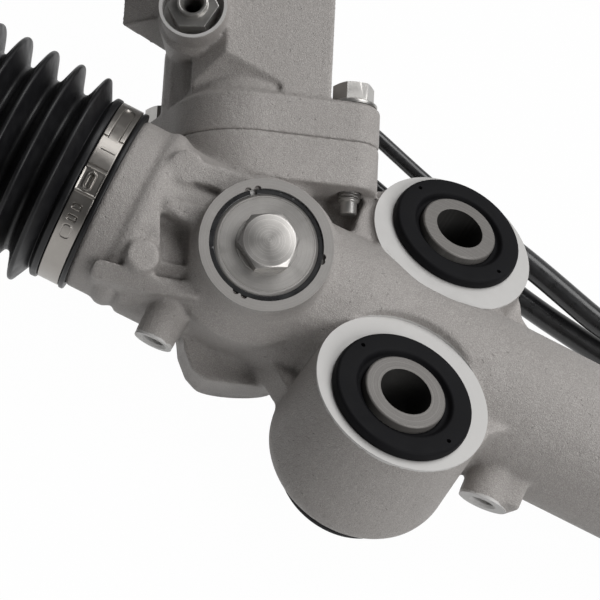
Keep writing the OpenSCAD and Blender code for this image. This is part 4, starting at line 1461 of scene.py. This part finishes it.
@dataclass
class BellowsBoot:
    """One bellows boot, in two pieces that meet in a valley over the ball joint.

    Attributes:
        end: End of the gear that it covers.
        folds: Number of folds.
        pitch: Distance from fold to fold.
        crest_r: Radius of the large folds.
        full_folds: Number of the last large fold, after which they taper.
        depth: Depth of a fold.
        taper: Loss of radius from fold to fold near the tie rod.
        first: Distance of the first crest from the housing end.
        length: Length from the housing end to the end of the small cuff.
        cuff: Distance from there back to where the cuff stops bending.
        split_fold: Fold after whose valley the second piece starts.
        wall: Thickness of the rubber.
    """

    end: End
    folds: int = 14
    pitch: float = 10.8
    crest_r: float = 41.0
    full_folds: int = 5
    depth: float = 9.5
    taper: float = 1.75
    first: float = 7.0
    length: float = 162.0
    cuff: float = 8.0
    split_fold: int = 10
    wall: float = 1.5

    def crest(self, fold: int) -> float:
        """Radius of a fold's crest."""
        return self.crest_r - max(0, fold - self.full_folds) * self.taper

    def fold_outline(self, fold: int, inset: float) -> list[Pair]:
        """Corners of one fold from its crest to the valley after it.

        Args:
            fold: Number of the fold.
            inset: Distance inside the outer skin.

        Returns:
            Corners as radius and distance from the housing end.
        """
        top = self.crest(fold) - inset * 1.7
        low = self.crest(fold) - self.depth - inset
        at = self.first + fold * self.pitch
        half = max(0.25, 0.95 - inset * 0.4)
        dip = at + self.pitch / 2
        return [(top - 1.1, at - half - 0.25), (top - 0.25, at - half * 0.8), (top, at),
                (top - 0.25, at + half * 0.8), (top - 1.1, at + half + 0.25),
                (low + 2.6, dip - 2.2), (low + 0.5, dip - 1.2), (low, dip),
                (low + 0.5, dip + 1.2), (low + 2.6, dip + 2.2)]

    def skin(self, folds: range, inset: float) -> list[Pair]:
        """Corners of the skin over a range of folds."""
        return [corner for fold in folds for corner in self.fold_outline(fold, inset)]

    def valley(self, fold: int, inset: float) -> Pair:
        """Lowest point of the valley after a fold."""
        return (self.crest(fold) - self.depth - inset, self.first + (fold + 0.5) * self.pitch)

    def housing_piece(self) -> list[Pair]:
        """Section of the piece from the large cuff to the split.

        Returns:
            Its points as radius and distance from the housing end.
        """
        cuff = [(31.7, -11.7), (35.5, -11.7), (35.5, -9.9), (34.1, -9.8), (34.1, -1.2),
                (35.9, -1.1), (36.0, 1.2), (33.4, 2.6)]
        last = self.split_fold
        folds = range(0, last + 1)
        outer = cuff + self.skin(folds, 0)[:-3] + [self.valley(last, 0)]
        inner = self.skin(folds, self.wall)[:-3] + [self.valley(last, self.wall)]
        return rounded(outer, 0.6, 3) + rounded(inner[::-1] + [(31.0, 2.0)], 0.6, 2)

    def rod_piece(self) -> list[Pair]:
        """Section of the piece from the split to the small cuff.

        Returns:
            Its points as radius and distance from the housing end.
        """
        split, length = self.split_fold, self.length
        folds = range(split + 1, self.folds)
        outer = [self.valley(split, 0)] + self.skin(folds, 0)[:-3]
        outer += [(11.4, length - 9.6), (10.1, length - 9.0), (10.1, length - 0.6), (9.6, length)]
        inner = [self.valley(split, self.wall)] + self.skin(folds, self.wall)[:-3]
        inner = [(8.1, length), (8.1, length - 11.0)] + inner[::-1]
        return rounded(outer, 0.6, 3) + rounded(inner, 0.6, 2)

    def build(self) -> None:
        """Makes both pieces and hides the boot of the frame."""
        word, outward, end_x = self.end.word, self.end.value, self.end.x
        frame = rack_frame(end_x, outward)
        split_x = end_x + outward * self.valley(self.split_fold, 0)[1]
        cuff_x = end_x + outward * (self.length - self.cuff)
        material = RUBBER.material(frame)
        pieces = ((f"{word}_boot_main", self.housing_piece(), "housing", "rack", end_x, split_x),
                  (f"{word}_boot_tail", self.rod_piece(), "rack", f"{word}_rod", split_x, cuff_x))
        for name, section, near, far, start, end in pieces:
            piece = lathe(name, section, frame, FINE_STEPS)
            piece.data.materials.append(material)
            smooth(piece, 60)
            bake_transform(piece)
            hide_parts(f"{word}_boot")
            LOG.info("%s: %d faces from %s to %s", name, len(piece.data.polygons), near, far)


@dataclass(frozen=True)
class Route:
    """Route of one line from its union on the valve tower to its port on the cylinder.

    Attributes:
        word: Word for the line in the names of its pieces.
        union: Y and Z of its union, in the pinion's frame.
        out: X in that frame where it first turns.
        corner: Its next corner beside the tower, in that frame.
        bends: Corners of its free part, in the gear's frame.
        port: Place of its port along the rack and turn in degrees.
        reach: Distance from the rack axis where it turns to the port.
    """

    word: str
    union: Pair
    out: float
    corner: Triple
    bends: tuple[Triple, ...]
    port: Pair
    reach: float


@dataclass
class PressureLines:
    """The two transfer lines behind the tube, with their nuts.

    Attributes:
        radius: Radius of a line.
        sleeve_r: Outer radius of the sleeve on a line's long part.
        bend: Distance from a corner at which its bend starts.
        steps: Pieces of each bend.
        sides: Flats round a line.
        union_at: X in the pinion's frame where a line starts in its union.
        port_at: Distance from the rack axis where it ends in its port.
        routes: Routes of the lines.
    """

    radius: float = 3.0
    sleeve_r: float = 5.2
    bend: float = 9.0
    steps: int = 10
    sides: int = 28
    union_at: float = 29.0
    port_at: float = 34.0
    routes: tuple[Route, ...] = (
        Route("near", NEAR_UNION, 52.0, (72.0, 34.0, 46.0),
              ((52.0, 74.6, -18.6), (84.0, 70.6, -19.9)), NEAR_PORT, 70.0),
        Route("far", FAR_UNION, 50.0, (78.0, 22.5, 56.0),
              ((44.0, 79.6, -3.4), (76.0, 72.4, -7.4), (222.0, 66.0, -9.2)), FAR_PORT, 65.0))

    def on_cylinder(self, x: float, turn: float, reach: float) -> Vector:
        """Point on a port's axis at this distance from the rack axis."""
        angle = math.radians(turn)
        return Vector((x, reach * math.cos(angle), reach * math.sin(angle)))

    def from_valve(self, s: float, y: float, z: float) -> Vector:
        """Point given in the pinion's frame, in millimetres of the main frame."""
        return (pinion_frame() @ mm(s, y, z)) / MM

    def bent(self, points: Sequence[Vector]) -> list[Vector]:
        """Turns each corner of a route into a curve.

        Args:
            points: The given corners of the route.

        Returns:
            The points of the smooth route.
        """
        route = [points[0]]
        for before, here, after in zip(points, points[1:], points[2:]):
            first = here + (before - here).normalized() * self.bend
            last = here + (after - here).normalized() * self.bend
            for step in range(self.steps + 1):
                t = step / self.steps
                route.append(first * (1 - t) ** 2 + here * 2 * t * (1 - t) + last * t ** 2)
        return route + [points[-1]]

    def tube(self, name: str, points: Sequence[Vector], radius: float) -> bpy.types.Object:
        """Round tube along a route.

        Args:
            name: Name of the piece.
            points: Corners of the route, in millimetres.
            radius: Its radius, in millimetres.

        Returns:
            The piece.
        """
        route = self.bent(points)
        rings: list[Vector] = []
        across = Vector((0, 0, 1))
        for index, here in enumerate(route):
            along = (route[min(index + 1, len(route) - 1)] - route[max(index - 1, 0)]).normalized()
            across = (across - along * across.dot(along)).normalized()
            beside = along.cross(across)
            for side in range(self.sides):
                angle = 2 * math.pi * side / self.sides
                out = across * math.cos(angle) + beside * math.sin(angle)
                rings.append((here + out * radius) * MM)
        faces: list[Sequence[int]] = []
        for ring in range(len(route) - 1):
            low, high = ring * self.sides, (ring + 1) * self.sides
            faces += [(low + i, low + (i + 1) % self.sides, high + (i + 1) % self.sides, high + i)
                      for i in range(self.sides)]
        last = (len(route) - 1) * self.sides
        faces += [tuple(reversed(range(self.sides))), tuple(range(last, last + self.sides))]
        piece = mesh_from(name, rings, faces)
        piece.data.materials.append(BLACK_STEEL.material())
        smooth(piece, 45)
        return piece

    def corners(self, route: Route) -> list[Vector]:
        """Works out the corners of a line between its union and its port.

        Args:
            route: The line's route.

        Returns:
            The corners, in millimetres.
        """
        return [self.from_valve(route.out, *route.union), self.from_valve(*route.corner),
                *map(Vector, route.bends), self.on_cylinder(*route.port, route.reach)]

    def sleeve_route(self, bends: Sequence[Vector]) -> list[Vector]:
        """Gives the route of the sleeve over the bends of its line."""
        return [bends[1].lerp(bends[2], 0.35), bends[2], bends[3], bends[3].lerp(bends[-1], 0.8)]

    def build(self, nodes: dict[str, bpy.types.Object]) -> None:
        """Makes both lines with their sleeves and dresses the nuts.

        Args:
            nodes: The solids of the frame.
        """
        for route in self.routes:
            word, bends = route.word, self.corners(route)
            first = self.from_valve(self.union_at, *route.union)
            last = self.on_cylinder(*route.port, self.port_at)
            line = self.tube(f"{word}_transfer_line", [first, *bends, last], self.radius)
            settle(line, "housing", BLACK_STEEL, f"{word}_line")
            sleeve = self.tube(f"{word}_line_sleeve", self.sleeve_route(bends), self.sleeve_r)
            settle(sleeve, "housing", BLACK_STEEL, f"{word}_line")
        dress(nodes, "line_nuts", PLATED, rack_frame(0), bevel=0.3)


def eased(distance: float, width: float) -> float:
    """Share from 0 outside an edge to 1 inside it, turned softly over a width."""
    t = min(max(distance / width + 0.5, 0.0), 1.0)
    return t * t * (3 - 2 * t)


def inside_slot(u: float, v: float, half_u: float, half_v: float, radius: float) -> float:
    """Depth of a point inside a rectangle with round corners.

    Args:
        u: Distance of the point from the middle, along it.
        v: Distance of the point from the middle, across it.
        half_u: Half its length.
        half_v: Half its width.
        radius: Radius of its corners.

    Returns:
        The distance inside its outline, negative outside, in the same unit.
    """
    out_u, out_v = abs(u) - half_u + radius, abs(v) - half_v + radius
    return radius - math.hypot(max(out_u, 0.0), max(out_v, 0.0)) - min(max(out_u, out_v), 0.0)


@dataclass
class BootClamps:
    """Crimped bands on the large cuffs and spring clips on the small ones.

    Attributes:
        bevel: Rounding of the clips' edges.
        inner_r: Inner radius of a band.
        outer_r: Outer radius of its single layer.
        layer: Height of the second layer on it.
        start: Distance of the band's first edge from the housing end.
        width: Width of the band.
        net: Size of the band's surface net where it has pressed forms.
        plain_step: Step of its plain part, in degrees.
        strips: Strips across the band.
        pressed: Stretch of the band that holds its pressed forms, in degrees.
        plate: Stretch of the doubled plate.
        rails: Stretch of the slotted part.
        slot_at: Middle of the slot.
        slot_half: Half the slot's length, in degrees.
        tongue: Stretch of the tongue in the slot.
        slot_middle: Distance of its middle from the band's first edge.
        slot_wide: Half its width.
        slot_corner: Radius of its corners.
        tongue_wide: Half the tongue's width.
        line_at: Place of the pressed line on the plate.
        ear_at: Middle of the crimped ear.
        ear_half: Half its length and width.
        loop_at: Middle of the loop on the ear.
        loop_half: Half its length and width.
        windows: Middles of the two windows.
        window_half: Half the length and width of a window.
        pane_half: Half the length and width of the tab in a window.
        mark_at: Middle of the outline mark.
        mark_half: Half its length and width.
        doubled: Stretch where the band is a little thicker.
    """

    bevel: float = 0.22
    inner_r: float = 34.12
    outer_r: float = 34.95
    layer: float = 0.62
    start: float = -9.6
    width: float = 8.2
    net: float = 0.14
    plain_step: float = 2.5
    strips: int = 58
    pressed: Pair = (-44.0, 84.0)
    plate: Pair = (9.7, 28.8)
    rails: Pair = (-38.0, 8.2)
    slot_at: float = -4.0
    slot_half: float = 20.0
    slot_middle: float = 4.0
    slot_wide: float = 2.15
    slot_corner: float = 2.1
    tongue_wide: float = 1.95
    tongue: Pair = (-24.0, 9.7)
    line_at: float = 18.3
    ear_at: float = 38.8
    ear_half: Pair = (4.6, 4.3)
    loop_at: float = 38.5
    loop_half: Pair = (3.5, 1.75)
    windows: Pair = (54.6, 61.8)
    window_half: Pair = (1.05, 1.7)
    pane_half: Pair = (0.5, 1.35)
    mark_at: float = 70.7
    mark_half: Pair = (2.6, 1.65)
    doubled: Pair = (31.0, 78.0)

    def within(self, c: float, stretch: Pair) -> float:
        """Distance inside a stretch of the band, in millimetres, negative outside it."""
        arc = math.radians(1) * self.outer_r
        return min((c - stretch[0]) * arc, (stretch[1] - c) * arc)

    def ear(self, c: float, v: float) -> float:
        """Height of the crimped ear with its pressed loop.

        Args:
            c: Angle round the band, in degrees.
            v: Distance from the band's first edge, in millimetres.

        Returns:
            The height above the single layer.
        """
        arc = math.radians(1) * self.outer_r
        pad = inside_slot((c - self.ear_at) * arc, v - self.width / 2, *self.ear_half, 0.7)
        height = 1.35 * eased(pad, 0.5) - 0.3 * eased(pad - 0.75, 0.7)
        loop = inside_slot((c - self.loop_at) * arc, v - 4.6, *self.loop_half, 1.7)
        height += 0.75 * eased(loop, 0.4) * eased(0.95 - loop, 0.35)
        return height - 1.2 * eased(loop - 0.95, 0.45) * eased(pad, 0.4)

    def height(self, c: float, v: float) -> float:
        """Height of the band's outer side above its single layer.

        Args:
            c: Angle round the band, in degrees.
            v: Distance from the band's first edge, in millimetres.

        Returns:
            The height, in millimetres.
        """
        arc = math.radians(1) * self.outer_r
        lip = min(v, self.width - v)
        total = -0.25 * (1 - eased(lip - 0.12, 0.3))
        if not self.pressed[0] < c < self.pressed[1]:
            return total
        total += self.layer * eased(self.within(c, self.plate), 0.22)
        beside = v - self.slot_middle
        slot = inside_slot((c - self.slot_at) * arc, beside, self.slot_half * arc,
                           self.slot_wide, self.slot_corner)
        total += self.layer * eased(self.within(c, self.rails), 0.22) * (1 - eased(slot, 0.22))
        tongue = min(self.within(c, self.tongue), self.tongue_wide - abs(beside))
        total += (0.12 + 0.5 * eased((c - 4) * arc, 9)) * eased(tongue, 0.25)
        line = eased(0.12 - abs(c - self.line_at) * arc, 0.16)
        total -= 0.14 * line * eased(min(v - 1.1, 6.6 - v), 0.3)
        total += self.ear(c, v)
        for middle in self.windows:
            window = inside_slot((c - middle) * arc, v - 4.35, *self.window_half, 0.5)
            total -= 0.6 * eased(window, 0.3)
            pane = inside_slot((c - middle + 0.35) * arc, v - 4.35, *self.pane_half, 0.35)
            total += 0.75 * eased(pane, 0.3)
        mark = inside_slot((c - self.mark_at) * arc, v - 4.3, *self.mark_half, 1.2)
        total -= 0.2 * eased(0.17 - abs(mark), 0.2)
        start, stop = self.doubled
        return total + 0.1 * eased((stop - c) * arc, 0.4) * eased((c - start) * arc, 0.4)

    def band(self, end: End) -> bpy.types.Object:
        """One crimped band round a large cuff.

        Args:
            end: End of the gear that it sits at.

        Returns:
            The closed band.
        """
        low, high = self.pressed
        fine = math.ceil((high - low) * math.radians(1) * self.outer_r / self.net)
        angles = [low + (high - low) * step / fine for step in range(fine + 1)]
        coarse = math.ceil((360 - high + low) / self.plain_step)
        angles += [high + (360 - high + low) * step / coarse for step in range(1, coarse)]
        across = [self.width * step / self.strips for step in range(self.strips + 1)]
        frame = rack_frame(end.x, end.value)
        points: list[Vector] = []
        for angle in angles:
            turn = math.radians(angle * end.value)
            out = Vector((math.cos(turn), math.sin(turn), 0))
            section = [(self.outer_r + self.height(angle, v), v) for v in across]
            section += [(self.inner_r, self.width), (self.inner_r, 0.0)]
            points += [frame @ ((out * radius + Vector((0, 0, self.start + v))) * MM)
                       for radius, v in section]
        count, rings = len(across) + 2, len(angles)
        faces = []
        for ring in range(rings):
            now, then = ring * count, (ring + 1) % rings * count
            faces += [(now + i, then + i, then + (i + 1) % count, now + (i + 1) % count)
                      for i in range(count)]
        piece = mesh_from(f"{end.word}_crimped_band", points, faces)
        piece.data.materials.append(BAND_STEEL.material(frame))
        smooth(piece, 50)
        return piece

    def build(self, nodes: dict[str, bpy.types.Object]) -> None:
        """Makes the bands and dresses the clips.

        Args:
            nodes: The solids of the frame.
        """
        for end in End:
            settle(self.band(end), "housing", BAND_STEEL, f"{end.word}_boot_band")
            clip_frame = rack_frame(end.x, end.value)
            dress(nodes, f"{end.word}_rod_clip", PLATED, clip_frame, bevel=self.bevel)


@dataclass
class RackAndRods:
    """The sliding bar with its piston and inner ball joints, and the two tie rods.

    Attributes:
        ball_out: Distance from a housing end to the ball's centre.
        thread_from: Start of the tie rod's thread, from the ball.
        thread_to: End of the tie rod.
        pitch: Pitch of its thread.
    """

    ball_out: float = 85.0
    thread_from: float = 148.0
    thread_to: float = 190.0
    pitch: float = 1.5

    def build(self, nodes: dict[str, bpy.types.Object]) -> None:
        """Dresses the bar, the ball joints and the rods.

        Args:
            nodes: The solids of the frame.
        """
        bar = rack_frame(0)
        dress(nodes, "rack_bar", GROUND, bar)
        dress(nodes, "piston", TURNED, bar)
        dress(nodes, "piston_ring", SEAT_PLASTIC, bar)
        dress(nodes, "socket_washers", FORGED, bar)
        dress(nodes, "ball_seats", SEAT_PLASTIC, bar)
        thread = (self.thread_from, self.thread_to, self.pitch)
        for end in End:
            ball = rack_frame(end.x + end.value * self.ball_out, end.value)
            dress(nodes, f"{end.word}_socket", FORGED, ball, bevel=0.3)
            dress(nodes, f"{end.word}_tie_rod", FORGED, ball, thread=thread)
            dress(nodes, f"{end.word}_jam_nut", PLATED, ball, bevel=0.4)


@dataclass
class PinionSet:
    """The pinion with the valve sleeve, and the splined input shaft on its torsion bar.

    Attributes:
        bevel: Rounding of the input shaft's edges.
    """

    bevel: float = 0.15

    def build(self, nodes: dict[str, bpy.types.Object]) -> None:
        """Dresses the pieces on the pinion's axis.

        Args:
            nodes: The solids of the frame.
        """
        axis = pinion_frame()
        for name in ("pinion_shaft", "valve_sleeve", "torsion_bar"):
            dress(nodes, name, GROUND, axis)
        dress(nodes, "valve_rings", SEAT_PLASTIC, axis)
        dress(nodes, "input_shaft", GROUND, axis, bevel=self.bevel)


@dataclass(frozen=True)
class Softbox:
    """A soft rectangular lamp.

    Attributes:
        name: Name of the lamp.
        place: Where it hangs, in metres.
        target: What it points to.
        size: Its width and height.
        watts: Its power.
    """

    name: str
    place: Triple
    target: Triple
    size: Pair
    watts: float

    def hang(self) -> None:
        """Adds the lamp to the scene."""
        data = bpy.data.lights.new(self.name, "AREA")
        data.shape = "RECTANGLE"
        data.size, data.size_y = self.size
        data.energy = self.watts
        lamp = bpy.data.objects.new(self.name, data)
        lamp.location = self.place
        aim = Vector(self.target) - Vector(self.place)
        lamp.rotation_euler = aim.to_track_quat("-Z", "Y").to_euler()
        bpy.context.scene.collection.objects.link(lamp)


@dataclass
class Studio:
    """Camera, floor and soft light.

    Attributes:
        eye: Place of the camera, in metres.
        right: The camera's right, in the gear's frame.
        up: The camera's up.
        back: The way from the view to the camera.
        lens: Focal length, in millimetres.
        sensor: Width of the camera's sensor, in millimetres.
        floor_half: Half the size of the floor, in metres.
        floor_grey: Level of the floor's own colour.
        floor_glow: Share of plain white that the camera sees on the floor.
        surround: Level at which the world lights the gear.
        lamps: The soft lamps.
    """

    eye: Triple = (-0.08996, -0.4418, 0.4442)
    right: Triple = (0.89016, 0.27208, 0.36549)
    up: Triple = (-0.44938, 0.6568, 0.60553)
    back: Triple = (-0.0753, -0.70327, 0.70693)
    lens: float = 102.0
    sensor: float = 36.0
    floor_half: float = 6.0
    floor_grey: float = 0.6
    floor_glow: float = 0.985
    surround: float = 0.06
    lamps: tuple[Softbox, ...] = (
        Softbox("overhead softbox", (0.25, 0.45, 1.3), (-0.02, 0, 0), (1.0, 0.8), 12.0),
        Softbox("right softbox", (0.95, -0.75, 1.0), (0, 0, 0), (0.9, 0.9), 14.0),
        Softbox("rear fill", (0.5, 1.2, 0.45), (0, 0, 0), (0.9, 0.9), 1.5))

    def camera(self) -> None:
        """Places the camera."""
        data = bpy.data.cameras.new("camera")
        data.lens = self.lens
        data.sensor_width = self.sensor
        data.clip_start = 0.01
        data.clip_end = 30.0
        camera = bpy.data.objects.new("camera", data)
        axes = Matrix((self.right, self.up, self.back)).transposed().to_4x4()
        camera.matrix_world = Matrix.Translation(self.eye) @ axes
        bpy.context.scene.collection.objects.link(camera)
        bpy.context.scene.camera = camera

    def seen_share(self, shader: Shader) -> bpy.types.NodeSocket:
        """Share of plain white where the floor is seen, straight or in a reflection.

        Args:
            shader: The floor's nodes.

        Returns:
            The socket of the share.
        """
        path = shader.add("LightPath")
        seen = shader.calc("MAXIMUM", path.outputs["Is Camera Ray"], path.outputs["Is Glossy Ray"])
        seen = shader.calc("MAXIMUM", seen, path.outputs["Is Transmission Ray"])
        return shader.calc("MULTIPLY", seen, self.floor_glow)

    def floor(self, height: float) -> None:
        """Lays a plain white floor.

        Args:
            height: Its height in metres.
        """
        half, grey = self.floor_half, self.floor_grey
        plan = ((-half, -half), (half, -half), (half, half), (-half, half))
        floor = mesh_from("floor", [Vector((x, y, height)) for x, y in plan], [(0, 1, 2, 3)])
        shader = Shader("white floor")
        shader.bsdf.inputs["Base Color"].default_value = (grey, grey, grey, 1)
        shader.bsdf.inputs["Roughness"].default_value = 0.9
        glow = shader.add("Emission")
        blend = shader.add("MixShader")
        shader.wire(self.seen_share(shader), blend.inputs[0])
        shader.wire(shader.bsdf.outputs[0], blend.inputs[1])
        shader.wire(glow.outputs[0], blend.inputs[2])
        shader.wire(blend.outputs[0], shader.tree.nodes["Material Output"].inputs["Surface"])
        floor.data.materials.append(shader.material)
        floor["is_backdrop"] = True

    def world(self) -> None:
        """Sets a pale surround that looks white to the camera."""
        world = bpy.data.worlds.new("studio")
        world.use_nodes = True
        bpy.context.scene.world = world
        tree = world.node_tree
        ground = tree.nodes["Background"]
        ground.inputs["Color"].default_value = (1, 1, 1, 1)
        path = tree.nodes.new("ShaderNodeLightPath")
        level = tree.nodes.new("ShaderNodeMapRange")
        level.inputs["To Min"].default_value = self.surround
        level.inputs["To Max"].default_value = 1.0
        tree.links.new(path.outputs["Is Camera Ray"], level.inputs["Value"])
        tree.links.new(level.outputs[0], ground.inputs["Strength"])

    def build(self, floor_height: float) -> None:
        """Sets up the whole studio.

        Args:
            floor_height: Height of the floor in metres.
        """
        bpy.context.scene.view_settings.view_transform = "Standard"
        self.camera()
        self.world()
        self.floor(floor_height)
        for lamp in self.lamps:
            lamp.hang()


def main() -> None:
    """Builds every piece of the gear in order."""
    logging.basicConfig(level=logging.INFO, format="%(name)s: %(message)s")
    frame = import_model()
    nodes = frame["nodes"]
    cad_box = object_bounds()
    Studio().build(cad_box[0][2] - FLOOR_GAP)
    Housing().build(nodes)
    YokeSet().build(nodes)
    MountingBushes().build(nodes)
    for end in End:
        BellowsBoot(end).build()
    BootClamps().build(nodes)
    PressureLines().build(nodes)
    RackAndRods().build(nodes)
    PinionSet().build(nodes)
    LOG.info("size written")


if __name__ == "__main__":
    main()
